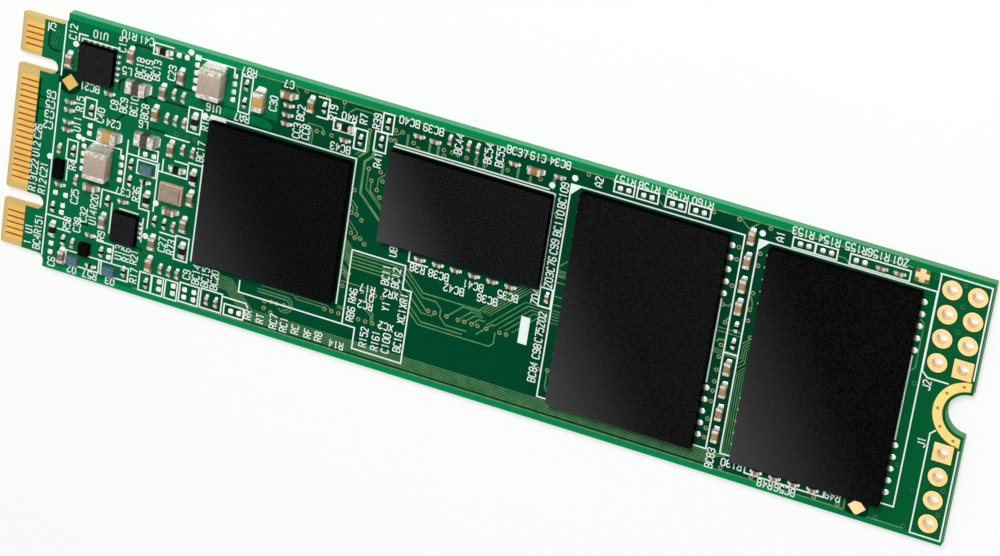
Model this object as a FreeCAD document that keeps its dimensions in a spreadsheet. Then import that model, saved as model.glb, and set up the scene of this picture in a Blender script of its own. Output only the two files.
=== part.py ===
import FreeCAD, Part
import Sketcher
import math
import os
import re
from FreeCAD import Placement, Rotation, Vector

# A gumstick solid state drive: a long thin circuit board with a keyed edge connector at one end,
# a half round screw seat at the other, and its chips soldered on the top face.
# Millimetres. The origin is the middle of the board's outline on its bottom face,
# +X runs from the edge connector to the screw seat, and +Z is up, out of the component side.

SIZES = {
    # Board: laminate with a solder mask skin on each face
    "laminate_thickness": 0.74,
    "skin_thickness": 0.03,
    "board_width": 22.0,
    "tongue_width": 19.85,
    "tongue_length": 4.0,
    "shoulder_radius": 0.6,
    "edge_bevel": 0.22,
    "mask_start": 2.0,
    # Key notches in the edge connector
    "key_width": 1.2,
    "key_depth": 3.5,
    "far_key_offset": 6.125,
    "near_key_offset": 5.625,
    # Contact fingers
    "contact_pitch": 0.5,
    "contact_width": 0.36,
    "contact_start": 0.5,
    # Screw seat and its grounding ring
    "seat_radius": 1.75,
    "ring_inner_radius": 2.0,
    "ring_outer_radius": 2.75,
    "ring_end_gap": 0.2,
    "ring_via_circle": 2.38,
    "ring_via_radius": 0.2,
    # Unused pin headers
    "header_pitch": 2.0,
    "header_bore": 0.46,
    "header_barrel": 0.54,
    "header_pad": 0.775,
    "header_end_distance": 1.1,
    "header_side_distance": 1.45,
    "short_header_end_distance": 1.3,
    "short_header_side_distance": 1.5,
    # Lengths along the board, from the connector edge to the far end
    "controller_start": 17.17,
    "controller_memory_gap": 3.03,
    "memory_flash_gap": 2.12,
    "flash_gap": 3.15,
    "flash_end_gap": 5.13,
    # Ball grid packages
    "controller_side": 12.0,
    "controller_height": 0.78,
    "controller_offset": -0.15,
    "memory_length": 13.4,
    "memory_width": 7.65,
    "memory_height": 0.78,
    "memory_offset": 4.08,
    "flash_width": 12.0,
    "flash_length": 18.0,
    "flash_height": 0.72,
    "package_corner": 0.06,
    "ball_radius": 0.24,
    "ball_height": 0.24,
    "ball_inset": 0.8,
    "controller_ball_pitch": 0.8,
    "memory_ball_pitch": 0.8,
    "flash_ball_pitch": 1.0,
    "spare_ball_radius": 0.22,
    "spare_ball_height": 0.1,
    "spare_ball_reach": 0.15,
    # Leadless chips
    "power_chip_side": 3.0,
    "power_chip_height": 0.7,
    "power_lead_pitch": 0.5,
    "power_lead_width": 0.26,
    "power_lead_length": 0.45,
    "power_pad_side": 1.5,
    "switch_chip_length": 2.5,
    "switch_chip_width": 2.1,
    "switch_chip_height": 0.7,
    "switch_lead_pitch": 0.4,
    "switch_lead_width": 0.22,
    "switch_lead_length": 0.5,
    "lead_thickness": 0.1,
    "lead_reach": 0.12,
    "driver_length": 1.6,
    "driver_width": 0.85,
    "driver_height": 0.5,
    "supervisor_length": 1.0,
    "supervisor_width": 0.9,
    "supervisor_height": 0.6,
    "diode_length": 1.0,
    "diode_width": 0.7,
    "diode_height": 0.5,
    # Crystal: ceramic base and metal lid
    "crystal_length": 2.0,
    "crystal_width": 1.6,
    "crystal_base_height": 0.35,
    "crystal_lid_inset": 0.17,
    "crystal_lid_height": 0.2,
    # Places of the small parts
    "layout_step": 1.0,
    "memory_row_gap": 0.9,
    "flash_row_gap": 0.65,
    # Two-ended chips, by size
    "choke_length": 2.5,
    "choke_width": 2.0,
    "choke_height": 1.3,
    "choke_end": 0.45,
    "bead_length": 1.7,
    "bead_width": 1.0,
    "bead_height": 0.8,
    "bead_end": 0.35,
    "large_length": 1.6,
    "large_width": 0.9,
    "large_height": 0.8,
    "large_end": 0.35,
    "medium_length": 1.05,
    "medium_width": 0.52,
    "medium_height": 0.5,
    "medium_end": 0.24,
    "medium_resistor_height": 0.35,
    "small_length": 0.62,
    "small_width": 0.32,
    "small_height": 0.3,
    "small_resistor_height": 0.24,
    "end_wrap": 0.02,
    # Bare pads and gold marks
    "pad_side": 0.42,
    "pad_height": 0.04,
    "diamond_reach": 0.72,
    "cross_length": 1.1,
    "cross_width": 0.45,
}

document = FreeCAD.newDocument("gumstick_drive")
sheet = document.addObject("Spreadsheet::Sheet", "Sizes")
for row, (alias, size) in enumerate(SIZES.items(), start=1):
    sheet.set("A%d" % row, alias)
    sheet.set("B%d" % row, str(size))
    sheet.setAlias("B%d" % row, alias)
document.recompute()


def bound(text):
    """An expression with each size's name pointed at its cell in the sheet."""
    return re.sub(r"[a-z_]+[a-z]", lambda word: "Sizes." + word.group(0), str(text))


def value(text):
    """The number that an expression of sizes stands for."""
    result = sheet.evalExpression(bound(text))
    return float(getattr(result, "Value", result))


# Worked out sizes
THICKNESS = "(laminate_thickness + 2 * skin_thickness)"
TOP_SKIN = "(laminate_thickness + skin_thickness)"
HALF_WIDTH = "(board_width / 2)"
HALF_TONGUE = "(tongue_width / 2)"
MEMORY_START = "(controller_start + controller_side + controller_memory_gap)"
FLASH_ONE_START = "(%s + memory_length + memory_flash_gap)" % MEMORY_START
FLASH_TWO_START = "(%s + flash_width + flash_gap)" % FLASH_ONE_START
LENGTH = "(%s + flash_width + flash_end_gap)" % FLASH_TWO_START

# Places along the board, as distances from its middle
EDGE = "(-%s / 2)" % LENGTH
FAR_END = "(%s / 2)" % LENGTH
POWER = "(%s + tongue_length)" % EDGE
CONTROLLER = "(%s + controller_start + controller_side / 2)" % EDGE
MEMORY = "(%s + %s + memory_length / 2)" % (EDGE, MEMORY_START)
FLASH_ONE = "(%s + %s + flash_width / 2)" % (EDGE, FLASH_ONE_START)
FLASH_TWO = "(%s + %s + flash_width / 2)" % (EDGE, FLASH_TWO_START)

ALONG = 0
ACROSS = 90

# The small parts stand on a grid of steps, each about a millimetre: so many steps from
# the shoulder to the controller, and so many from the middle line to a side of the board
STEPS_LONG = 13.17
STEPS_ASIDE = 11

# Small round holes and pads are drawn with this many sides
HOLE_SIDES = 10
BARREL_SIDES = 8
VIA_SIDES = 8
BALL_SIDES = 6


# Places

def along(zone, x):
    """Steps along the board from a zone's own point."""
    step = "(controller_start - tongue_length) / %g" % STEPS_LONG if zone == POWER else "layout_step"
    return "%s + %s * %g" % (zone, step, x)


def at(zone, x, y, turn=ALONG):
    """A place so many steps along the board from a zone's own point, and aside from its middle."""
    return (along(zone, x), "%s / %g * %g" % (HALF_WIDTH, STEPS_ASIDE, y), turn)


def near_side(zone, x, side, distance, turn=ALONG):
    """A place measured in from one long side of the board: side is +1 or -1."""
    sign = "" if side > 0 else "-"
    return (along(zone, x), "%s(%s - layout_step * %g)" % (sign, HALF_WIDTH, distance), turn)


def beside_flash(zone, x, side, distance="flash_row_gap", turn=ALONG):
    """A place measured out from the end of a flash package: side is +1 or -1."""
    sign = "" if side > 0 else "-"
    return (along(zone, x), "%s(flash_length / 2 + %s)" % (sign, distance), turn)


# Bodies, sketches and features

def new_body(label):
    body = document.addObject("PartDesign::Body", label)
    body.Label = label
    return body


def origin_plane(body, role):
    return [feature for feature in body.Origin.OriginFeatures if feature.Role == role][0]


def new_sketch(body, name, height="0", shift="0"):
    """A sketch parallel to the board, at a height and a distance along it."""
    sketch = body.newObject("Sketcher::SketchObject", name)
    sketch.AttachmentSupport = (origin_plane(body, "XY_Plane"), [""])
    sketch.MapMode = "FlatFace"
    sketch.setExpression("AttachmentOffset.Base.x", bound(shift))
    sketch.setExpression("AttachmentOffset.Base.z", bound(height))
    return sketch


def hold_point(sketch, edge, end, x, y):
    """Bind one end of a sketch edge, or a circle's centre, to two expressions."""
    for kind, text in (("DistanceX", x), ("DistanceY", y)):
        constraint = Sketcher.Constraint(kind, -1, 1, edge, end, value(text))
        index = sketch.addConstraint(constraint)
        sketch.setExpression("Constraints[%d]" % index, bound(text))


def add_outline(sketch, points):
    """A closed outline of straight edges through points that are pairs of expressions."""
    first = sketch.GeometryCount
    count = len(points)
    corners = [Vector(value(x), value(y), 0) for x, y in points]
    for step in range(count):
        sketch.addGeometry(Part.LineSegment(corners[step], corners[(step + 1) % count]), False)
    for step in range(count):
        following = first + (step + 1) % count
        sketch.addConstraint(Sketcher.Constraint("Coincident", first + step, 2, following, 1))
    for step, (x, y) in enumerate(points):
        hold_point(sketch, first + step, 1, x, y)


def add_rectangle(sketch, x, y, length, width):
    """A rectangle about a middle point."""
    left = "%s - (%s) / 2" % (x, length)
    right = "%s + (%s) / 2" % (x, length)
    low = "%s - (%s) / 2" % (y, width)
    high = "%s + (%s) / 2" % (y, width)
    add_outline(sketch, [(left, low), (right, low), (right, high), (left, high)])


def add_circle(sketch, x, y, radius):
    index = sketch.addGeometry(
        Part.Circle(Vector(value(x), value(y), 0), Vector(0, 0, 1), value(radius)), False)
    hold_point(sketch, index, 3, x, y)
    constraint = sketch.addConstraint(Sketcher.Constraint("Radius", index, value(radius)))
    sketch.setExpression("Constraints[%d]" % constraint, bound(radius))


def add_polygon(sketch, x, y, radius, sides):
    """A regular outline with its first corner along the board."""
    points = []
    for step in range(sides):
        angle = 2 * math.pi * step / sides
        across = "%s + %s * %.6f" % (x, radius, math.cos(angle))
        up = "%s + %s * %.6f" % (y, radius, math.sin(angle))
        points.append((across, up))
    add_outline(sketch, points)


def add_pad(body, sketch, name, length):
    feature = body.newObject("PartDesign::Pad", name)
    feature.Profile = sketch
    feature.setExpression("Length", bound(length))
    sketch.Visibility = False
    document.recompute()
    return feature


def add_pocket(body, sketch, name, depth, upward=True):
    feature = body.newObject("PartDesign::Pocket", name)
    feature.Profile = sketch
    feature.Reversed = upward
    feature.setExpression("Length", bound(depth))
    document.recompute()
    return feature


def add_row(body, feature, sketch, name, pitch, count):
    """Copies of a feature in a row across the board."""
    pattern = body.newObject("PartDesign::LinearPattern", name)
    pattern.Originals = [feature]
    pattern.Direction = (sketch, ["V_Axis"])
    pattern.setExpression("Length", bound("%s * %d" % (pitch, count - 1)))
    pattern.Occurrences = count
    body.Tip = pattern
    document.recompute()
    return pattern


def add_grid(body, feature, sketch, name, pitch, columns, rows):
    """Copies of a feature on a grid that runs back from it along the board and across it."""
    grid = body.newObject("PartDesign::MultiTransform", name)
    grid.Originals = [feature]
    steps = []
    for axis, count in (("H_Axis", columns), ("V_Axis", rows)):
        if count > 1:
            line = body.newObject("PartDesign::LinearPattern", name + "_" + axis[0])
            line.Direction = (sketch, [axis])
            line.setExpression("Length", bound("%s * %d" % (pitch, count - 1)))
            line.Occurrences = count
            steps.append(line)
    grid.Transformations = steps
    body.Tip = grid
    document.recompute()
    return grid


def add_ring(body, feature, sketch, name, angle, count):
    """Copies of a feature on an arc about the sketch's own origin."""
    pattern = body.newObject("PartDesign::PolarPattern", name)
    pattern.Originals = [feature]
    pattern.Axis = (sketch, ["N_Axis"])
    pattern.Angle = angle
    pattern.Occurrences = count
    body.Tip = pattern
    document.recompute()
    return pattern


def upright_edges(shape, matches):
    """Names of the edges parallel to Z whose foot passes a test."""
    names = []
    for number, edge in enumerate(shape.Edges, start=1):
        ends = [vertex.Point for vertex in edge.Vertexes]
        if len(ends) == 2 and (ends[0] - ends[1]).cross(Vector(0, 0, 1)).Length < 1e-6:
            if matches(ends[0]):
                names.append("Edge%d" % number)
    return names


# Board, solder mask and what is plated on them

# Each header's hole nearest the board's middle is its first pin, and its pad is square

LONG_HEADER = {
    "x": "%s - header_end_distance - header_pitch" % FAR_END,
    "y": "%s - header_side_distance - header_pitch * 3" % HALF_WIDTH,
    "columns": 2,
    "first": (1, 0),
}
SHORT_HEADER = {
    "x": "%s - short_header_end_distance" % FAR_END,
    "y": "-%s + short_header_side_distance" % HALF_WIDTH,
    "columns": 1,
    "first": (0, 3),
}
HEADER_ROWS = 4


def header_holes(body, name, radius, sides, depth):
    """Holes for both headers, each a grid of copies of its corner hole."""
    for title, header in (("long", LONG_HEADER), ("short", SHORT_HEADER)):
        label = "%s_%s" % (title, name)
        shape = new_sketch(body, label + "_shape")
        shape.setExpression("AttachmentOffset.Base.x", bound(header["x"]))
        shape.setExpression("AttachmentOffset.Base.y", bound(header["y"]))
        add_polygon(shape, "0", "0", radius, sides)
        hole = add_pocket(body, shape, label, depth)
        add_grid(body, hole, shape, label + "_grid", "header_pitch", header["columns"], HEADER_ROWS)


def header_places(header):
    """The place of each hole of a header: round pads, and the square one."""
    rounds = []
    squares = []
    for column in range(header["columns"]):
        for step in range(HEADER_ROWS):
            x = "%s + header_pitch * %d" % (header["x"], column)
            y = "%s + header_pitch * %d" % (header["y"], step)
            chosen = squares if (column, step) == header["first"] else rounds
            chosen.append((x, y, ALONG))
    return rounds, squares


def board_outline(sketch, start):
    """The tongue and the board behind it, from a distance behind the connector edge."""
    tongue = HALF_TONGUE
    front = "%s + %s" % (EDGE, start)
    shoulder = "%s + tongue_length" % EDGE
    add_outline(sketch, [
        (front, "-" + tongue),
        (shoulder, "-" + tongue),
        (shoulder, "-" + HALF_WIDTH),
        (FAR_END, "-" + HALF_WIDTH),
        (FAR_END, HALF_WIDTH),
        (shoulder, HALF_WIDTH),
        (shoulder, tongue),
        (front, tongue),
    ])


def round_shoulders(body, feature):
    """Round the inner corners where the tongue meets the board."""
    shoulder = value(EDGE) + value("tongue_length")
    tongue = value(HALF_TONGUE)

    def is_inner_corner(point):
        return abs(point.x - shoulder) < 1e-4 and abs(abs(point.y) - tongue) < 1e-4

    fillet = body.newObject("PartDesign::Fillet", "shoulders")
    fillet.Base = (feature, upright_edges(feature.Shape, is_inner_corner))
    fillet.setExpression("Radius", bound("shoulder_radius"))
    document.recompute()
    return fillet


def key_notches(body, depth):
    """The two round ended notches that key the edge connector."""
    for name, middle in (("far_key", "far_key_offset"), ("near_key", "-near_key_offset")):
        straight = new_sketch(body, name + "_slot_shape", shift=EDGE)
        reach = "(key_depth - key_width / 2)"
        add_rectangle(straight, reach + " / 2", middle, reach, "key_width")
        add_pocket(body, straight, name + "_slot", depth)
        end = new_sketch(body, name + "_end_shape", shift=EDGE)
        add_circle(end, reach, middle, "key_width / 2")
        add_pocket(body, end, name + "_end", depth)


def seat_cut(body, radius, depth):
    """The half round opening at the far end."""
    shape = new_sketch(body, "seat_shape", shift=FAR_END)
    add_circle(shape, "0", "0", radius)
    return add_pocket(body, shape, "seat", depth)


def bevel_front(body, feature):
    """Bevel both long edges of the connector."""
    front = value(EDGE)
    names = []
    for number, edge in enumerate(feature.Shape.Edges, start=1):
        ends = [vertex.Point for vertex in edge.Vertexes]
        level = len(ends) == 2 and abs(ends[0].z - ends[1].z) < 1e-6
        if level and all(abs(point.x - front) < 1e-4 for point in ends):
            names.append("Edge%d" % number)
    bevel = body.newObject("PartDesign::Chamfer", "front_bevel")
    bevel.Base = (feature, names)
    bevel.setExpression("Size", bound("edge_bevel"))
    document.recompute()


def ring_outline(sketch):
    """A band round the screw seat that stops just short of the board's end."""
    arcs = []
    for radius in ("ring_outer_radius", "ring_inner_radius"):
        size = value(radius)
        start = math.pi - math.acos(value("ring_end_gap") / size)
        circle = Part.Circle(Vector(0, 0, 0), Vector(0, 0, 1), size)
        arc = sketch.addGeometry(Part.ArcOfCircle(circle, start, 2 * math.pi - start), False)
        hold_point(sketch, arc, 3, "0", "0")
        constraint = sketch.addConstraint(Sketcher.Constraint("Radius", arc, size))
        sketch.setExpression("Constraints[%d]" % constraint, bound(radius))
        arcs.append(arc)
    for end in (1, 2):
        points = [sketch.getPoint(arc, end) for arc in arcs]
        line = sketch.addGeometry(Part.LineSegment(*points), False)
        for arc, side in zip(arcs, (1, 2)):
            sketch.addConstraint(Sketcher.Constraint("Coincident", line, side, arc, end))
            constraint = sketch.addConstraint(
                Sketcher.Constraint("DistanceX", -1, 1, arc, end, value("-ring_end_gap")))
            sketch.setExpression("Constraints[%d]" % constraint, bound("-ring_end_gap"))


def ring_via_shape(body, name, radius):
    """One plated hole of the screw seat's ring, at the end of its arc."""
    shape = new_sketch(body, name, shift=FAR_END)
    angle = math.radians(108)
    across = "ring_via_circle * %.6f" % math.cos(angle)
    up = "ring_via_circle * %.6f" % math.sin(angle)
    add_polygon(shape, across, up, radius, VIA_SIDES)
    return shape


def circuit_board():
    body = new_body("circuit_board")
    shape = new_sketch(body, "outline", height="skin_thickness")
    board_outline(shape, "0")
    slab = add_pad(body, shape, "slab", "laminate_thickness")
    round_shoulders(body, slab)
    key_notches(body, THICKNESS)
    seat_cut(body, "seat_radius", THICKNESS)
    header_holes(body, "header_holes", "header_barrel", BARREL_SIDES, THICKNESS)
    via = ring_via_shape(body, "ring_via_shape", "ring_via_radius")
    hole = add_pocket(body, via, "ring_via", THICKNESS)
    vias = add_ring(body, hole, via, "ring_vias", 144, 5)
    bevel_front(body, vias)
    return body


def solder_mask(label, height, gold_marks):
    """A skin over one face, open over the contacts, the rings, the headers and the gold marks."""
    body = new_body(label)
    shape = new_sketch(body, "outline", height=height)
    board_outline(shape, "mask_start")
    skin = add_pad(body, shape, "skin", "skin_thickness")
    round_shoulders(body, skin)
    key_notches(body, THICKNESS)
    seat_cut(body, "seat_radius", THICKNESS)
    ring = new_sketch(body, "ring_opening_shape", shift=FAR_END)
    ring_outline(ring)
    add_pocket(body, ring, "ring_opening", THICKNESS)
    header_holes(body, "header_openings", "header_pad", HOLE_SIDES, THICKNESS)
    squares = new_sketch(body, "square_openings_shape")
    for header in (LONG_HEADER, SHORT_HEADER):
        for x, y, turn in header_places(header)[1]:
            add_rectangle(squares, x, y, "2 * header_pad", "2 * header_pad")
    add_pocket(body, squares, "square_openings", THICKNESS)
    if gold_marks:
        marks = new_sketch(body, "marks_shape")
        mark_outlines(marks)
        add_pocket(body, marks, "marks", THICKNESS)
    return body


def screw_ring():
    """The grounding ring round the screw seat, on both faces, joined by five plated holes."""
    body = new_body("screw_ring")
    for name, height in (("lower_ring", "0"), ("upper_ring", TOP_SKIN)):
        shape = new_sketch(body, name + "_shape", height=height, shift=FAR_END)
        ring_outline(shape)
        add_pad(body, shape, name, "skin_thickness")
    barrel = ring_via_shape(body, "barrel_shape", "ring_via_radius")
    first = add_pad(body, barrel, "barrel", THICKNESS)
    add_ring(body, first, barrel, "barrels", 144, 5)
    return body


def contacts(label, height, runs):
    """Contact fingers in runs across the tongue, each given by its first place and its count."""
    body = new_body(label)
    length = "(mask_start - contact_start)"
    middle = "%s + contact_start + %s / 2" % (EDGE, length)
    for number, (first, count) in enumerate(runs, start=1):
        shape = new_sketch(body, "finger_%d_shape" % number, height=height)
        add_rectangle(shape, middle, "contact_pitch * %g" % first, length, "contact_width")
        finger = add_pad(body, shape, "finger_%d" % number, "skin_thickness")
        add_row(body, finger, shape, "run_%d" % number, "contact_pitch", count)
    return body


def mark_outlines(sketch):
    """Two gold diamonds and a gold cross that guide the assembly machine."""
    reach = "diamond_reach"
    diamonds = [
        at(POWER, 0.68, 5.28)[:2],
        near_side(FLASH_TWO, 4.23, -1, 1.05)[:2],
    ]
    for x, y in diamonds:
        add_outline(sketch, [
            ("%s - %s" % (x, reach), y),
            (x, "%s - %s" % (y, reach)),
            ("%s + %s" % (x, reach), y),
            (x, "%s + %s" % (y, reach)),
        ])
    x, y, turn = near_side(FLASH_TWO, 5.63, 1, 1)
    far = "cross_length / 2"
    near = "cross_width / 2"
    points = [
        (far, "-" + near), (far, near), (near, near),
        (near, far), ("-" + near, far), ("-" + near, near),
        ("-" + far, near), ("-" + far, "-" + near), ("-" + near, "-" + near),
        ("-" + near, "-" + far), (near, "-" + far), (near, "-" + near),
    ]
    add_outline(sketch, [("%s + %s" % (x, across), "%s + %s" % (y, up)) for across, up in points])


def fiducial_marks():
    body = new_body("fiducial_marks")
    shape = new_sketch(body, "marks_shape", height=TOP_SKIN)
    mark_outlines(shape)
    add_pad(body, shape, "marks", "skin_thickness")
    return body


# Ball grid packages

def package(label, x, y, length, width, height):
    """A moulded package that stands on its solder balls, with its corners eased."""
    body = new_body(label)
    base = "%s + ball_height" % THICKNESS
    shape = new_sketch(body, "outline", height=base)
    add_rectangle(shape, x, y, length, width)
    block = add_pad(body, shape, "block", height)
    corners = body.newObject("PartDesign::Chamfer", "corners")
    corners.Base = (block, upright_edges(block.Shape, lambda point: True))
    corners.setExpression("Size", bound("package_corner"))
    document.recompute()
    return body


def box(name, length, width, height):
    """A plain block that stands on its middle."""
    block = document.addObject("Part::Box", name)
    block.setExpression("Length", bound(length))
    block.setExpression("Width", bound(width))
    block.setExpression("Height", bound(height))
    block.setExpression("Placement.Base.x", bound("-(%s) / 2" % length))
    block.setExpression("Placement.Base.y", bound("-(%s) / 2" % width))
    return block


def pillar(name, radius, height, sides=BALL_SIDES):
    """A short many sided pillar."""
    solid = document.addObject("Part::Prism", name)
    solid.Polygon = sides
    solid.setExpression("Circumradius", bound(radius))
    solid.setExpression("Height", bound(height))
    return solid


def group(label, master, places, height=THICKNESS):
    """One sub-part made of like pieces: copies of a master, each at a place and a turn."""
    return mixed_group(label, [(master, places)], height)


def mixed_group(label, sets, height=THICKNESS):
    """One sub-part made of copies of several masters, each master with its own places."""
    copies = []
    pairs = [(master, place) for master, places in sets for place in places]
    for number, (master, (x, y, turn)) in enumerate(pairs, start=1):
        copy = document.addObject("App::Link", "%s_%d" % (label, number))
        copy.LinkedObject = master
        copy.LinkTransform = True
        copy.Placement = Placement(Vector(0, 0, 0), Rotation(Vector(0, 0, 1), turn))
        copy.setExpression("Placement.Base.x", bound(x))
        copy.setExpression("Placement.Base.y", bound(y))
        copy.setExpression("Placement.Base.z", bound(height))
        copies.append(copy)
    compound = document.addObject("Part::Compound", label)
    compound.Links = copies
    compound.Label = label
    return compound


def header_eyelets(label, header):
    """Plated holes, each a barrel through the board with a pad on both faces."""
    rounds, squares = header_places(header)
    sets = [(eyelet(label + "_round", False), rounds), (eyelet(label + "_square", True), squares)]
    mixed_group(label, sets, "0")


def eyelet(name, square):
    """One plated hole, with round or square pads."""
    pads = []
    for side, height in (("lower", "0"), ("upper", TOP_SKIN)):
        if square:
            width = "2 * header_pad"
            pad = box("%s_%s_pad" % (name, side), width, width, "skin_thickness")
        else:
            pad = pillar("%s_%s_pad" % (name, side), "header_pad", "skin_thickness", HOLE_SIDES)
        pad.setExpression("Placement.Base.z", bound(height))
        pads.append(pad)
    barrel = pillar(name + "_barrel", "header_barrel", THICKNESS, BARREL_SIDES)
    bore = pillar(name + "_bore", "header_bore", THICKNESS, HOLE_SIDES)
    whole = document.addObject("Part::MultiFuse", name + "_whole")
    whole.Shapes = pads + [barrel]
    hollow = document.addObject("Part::Cut", name)
    hollow.Base = whole
    hollow.Tool = bore
    return hollow


def square_ring(x, y, pitch, count):
    """Places on the outline of a square grid."""
    places = []
    last = count - 1
    for column in range(count):
        for step in range(count):
            if column in (0, last) or step in (0, last):
                across = "%s + %s * %g" % (x, pitch, column - last / 2)
                up = "%s + %s * %g" % (y, pitch, step - last / 2)
                places.append((across, up, ALONG))
    return places


def edge_columns(x, y, reach, pitch, steps):
    """Places in two columns, a reach either side of a middle, at chosen steps of a pitch."""
    places = []
    for side in ("-", "+"):
        for step in steps:
            places.append(("%s %s (%s)" % (x, side, reach), "%s + %s * %g" % (y, pitch, step), ALONG))
    return places


def ball_grids(ball):
    """The outer solder balls of each package: the inner ones are hidden behind them."""
    group("controller_balls", ball,
          square_ring(CONTROLLER, "controller_offset", "3 * controller_ball_pitch", 5))
    rows = []
    for step in (-4, 4):
        for column in (-7.5, -4.5, 4.5, 7.5):
            x = "%s + memory_ball_pitch * %g" % (MEMORY, column)
            y = "memory_offset + memory_ball_pitch * %g" % step
            rows.append((x, y, ALONG))
    group("memory_balls", ball, rows)
    steps = (-8, -4, 4, 8)
    for number, x in ((1, FLASH_ONE), (2, FLASH_TWO)):
        group("flash_balls_%d" % number, ball,
              edge_columns(x, "0", "flash_width / 2 - ball_inset", "flash_ball_pitch", steps))


def spare_balls():
    """Solder on the lands beside each flash package, which a wider package would use."""
    bump = pillar("spare_ball_master", "spare_ball_radius", "spare_ball_height")
    steps = (-8, -7, -6, -5, -4, 4, 5, 6, 7, 8)
    reach = "flash_width / 2 + spare_ball_reach"
    places = []
    for x in (FLASH_ONE, FLASH_TWO):
        places += edge_columns(x, "0", reach, "flash_ball_pitch", steps)
    return group("spare_ball_lands", bump, places)


# Leadless chips, crystal and small packages

def leadless_chip(label, x, y, length, width, height, lead_rows):
    """A square cut package that stands on its own flat leads, which reach out from under it."""
    blocks = []
    for number, (row_x, row_y, turn, lead_length, lead_width, pitch, count) in enumerate(lead_rows):
        lead = box("%s_lead_%d" % (label, number), lead_length, lead_width, "lead_thickness")
        for step in range(count):
            across = "%s * %g" % (pitch, step - (count - 1) / 2)
            copy = document.addObject("App::Link", "%s_lead_%d_%d" % (label, number, step))
            copy.LinkedObject = lead
            copy.LinkTransform = True
            copy.Placement = Placement(Vector(0, 0, 0), Rotation(Vector(0, 0, 1), turn))
            shift_x = across if turn else "0"
            shift_y = "0" if turn else across
            copy.setExpression("Placement.Base.x", bound("%s + %s + %s" % (x, row_x, shift_x)))
            copy.setExpression("Placement.Base.y", bound("%s + %s + %s" % (y, row_y, shift_y)))
            copy.setExpression("Placement.Base.z", bound(THICKNESS))
            blocks.append(copy)
    leads = document.addObject("Part::Compound", label + "_leads")
    leads.Label = label + "_leads"
    leads.Links = blocks
    master = box(label + "_master", length, width, height)
    group(label, master, [(x, y, ALONG)], "%s + lead_thickness" % THICKNESS)


def two_ended(name, length, width, height, end):
    """A block with a metal cap on each end: the caps stand a little proud of its top."""
    middle = box(name + "_body", "%s - 2 * %s" % (length, end), width, height)
    caps = []
    for side in ("-", "+"):
        cap = box("%s_cap_%d" % (name, len(caps)), end, width, "%s + end_wrap" % height)
        centre = "%s (%s - %s) / 2" % (side, length, end)
        cap.setExpression("Placement.Base.x", bound("%s - (%s) / 2" % (centre, end)))
        caps.append(cap)
    whole = document.addObject("Part::MultiFuse", name)
    whole.Shapes = [middle] + caps
    whole.Refine = True
    return whole


def power_chips():
    side = "power_chip_side / 2 + lead_reach - power_lead_length / 2"
    rows = []
    for sign in ("-", "+"):
        edge = "%s(%s)" % (sign, side)
        rows.append((edge, "0", ALONG, "power_lead_length", "power_lead_width", "power_lead_pitch", 5))
        rows.append(("0", edge, ACROSS, "power_lead_length", "power_lead_width", "power_lead_pitch", 5))
    rows.append(("0", "0", ALONG, "power_pad_side", "power_pad_side", "power_lead_pitch", 1))
    x, y, turn = at(POWER, 2.95, 7.6)
    leadless_chip("power_chip", x, y, "power_chip_side", "power_chip_side", "power_chip_height", rows)
    side = "switch_chip_width / 2 + lead_reach - switch_lead_length / 2"
    rows = []
    for sign in ("-", "+"):
        edge = "%s(%s)" % (sign, side)
        rows.append((edge, "0", ALONG, "switch_lead_length", "switch_lead_width", "switch_lead_pitch", 4))
    x, y, turn = at(POWER, 6.9, -5.4)
    leadless_chip("switch_chip", x, y, "switch_chip_width", "switch_chip_length", "switch_chip_height", rows)


def small_packages():
    driver = box("driver_master", "driver_length", "driver_width", "driver_height")
    group("driver_chip", driver, [at(POWER, 0.6, -2.15, ACROSS)])
    supervisor = box("supervisor_master", "supervisor_length", "supervisor_width", "supervisor_height")
    group("supervisor_chip", supervisor, [at(POWER, 3.6, -8.3, ACROSS)])
    diode = box("diode_master", "diode_length", "diode_width", "diode_height")
    group("diodes", diode, [
        at(POWER, 8.1, -0.05),
        at(POWER, 2.65, -9.6),
        at(POWER, 5.9, -9.6),
    ])


def crystal():
    place = at(POWER, 10.4, -1.4)
    base = box("crystal_base_master", "crystal_length", "crystal_width", "crystal_base_height")
    group("crystal_base", base, [place])
    lid = box("crystal_lid_master", "crystal_length - 2 * crystal_lid_inset",
              "crystal_width - 2 * crystal_lid_inset", "crystal_lid_height")
    group("crystal_lid", lid, [place], "%s + crystal_base_height" % THICKNESS)


def chokes_and_beads():
    choke = two_ended("choke_master", "choke_length", "choke_width", "choke_height", "choke_end")
    group("chokes", choke, [at(POWER, 12.85, 8.93, ACROSS), at(POWER, 4.08, -0.6, ACROSS)])
    bead = two_ended("bead_master", "bead_length", "bead_width", "bead_height", "bead_end")
    group("ferrite_beads", bead, [at(POWER, 6.56, 6.6), at(POWER, 7.8, 2.5)])


# Capacitors and resistors

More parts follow.
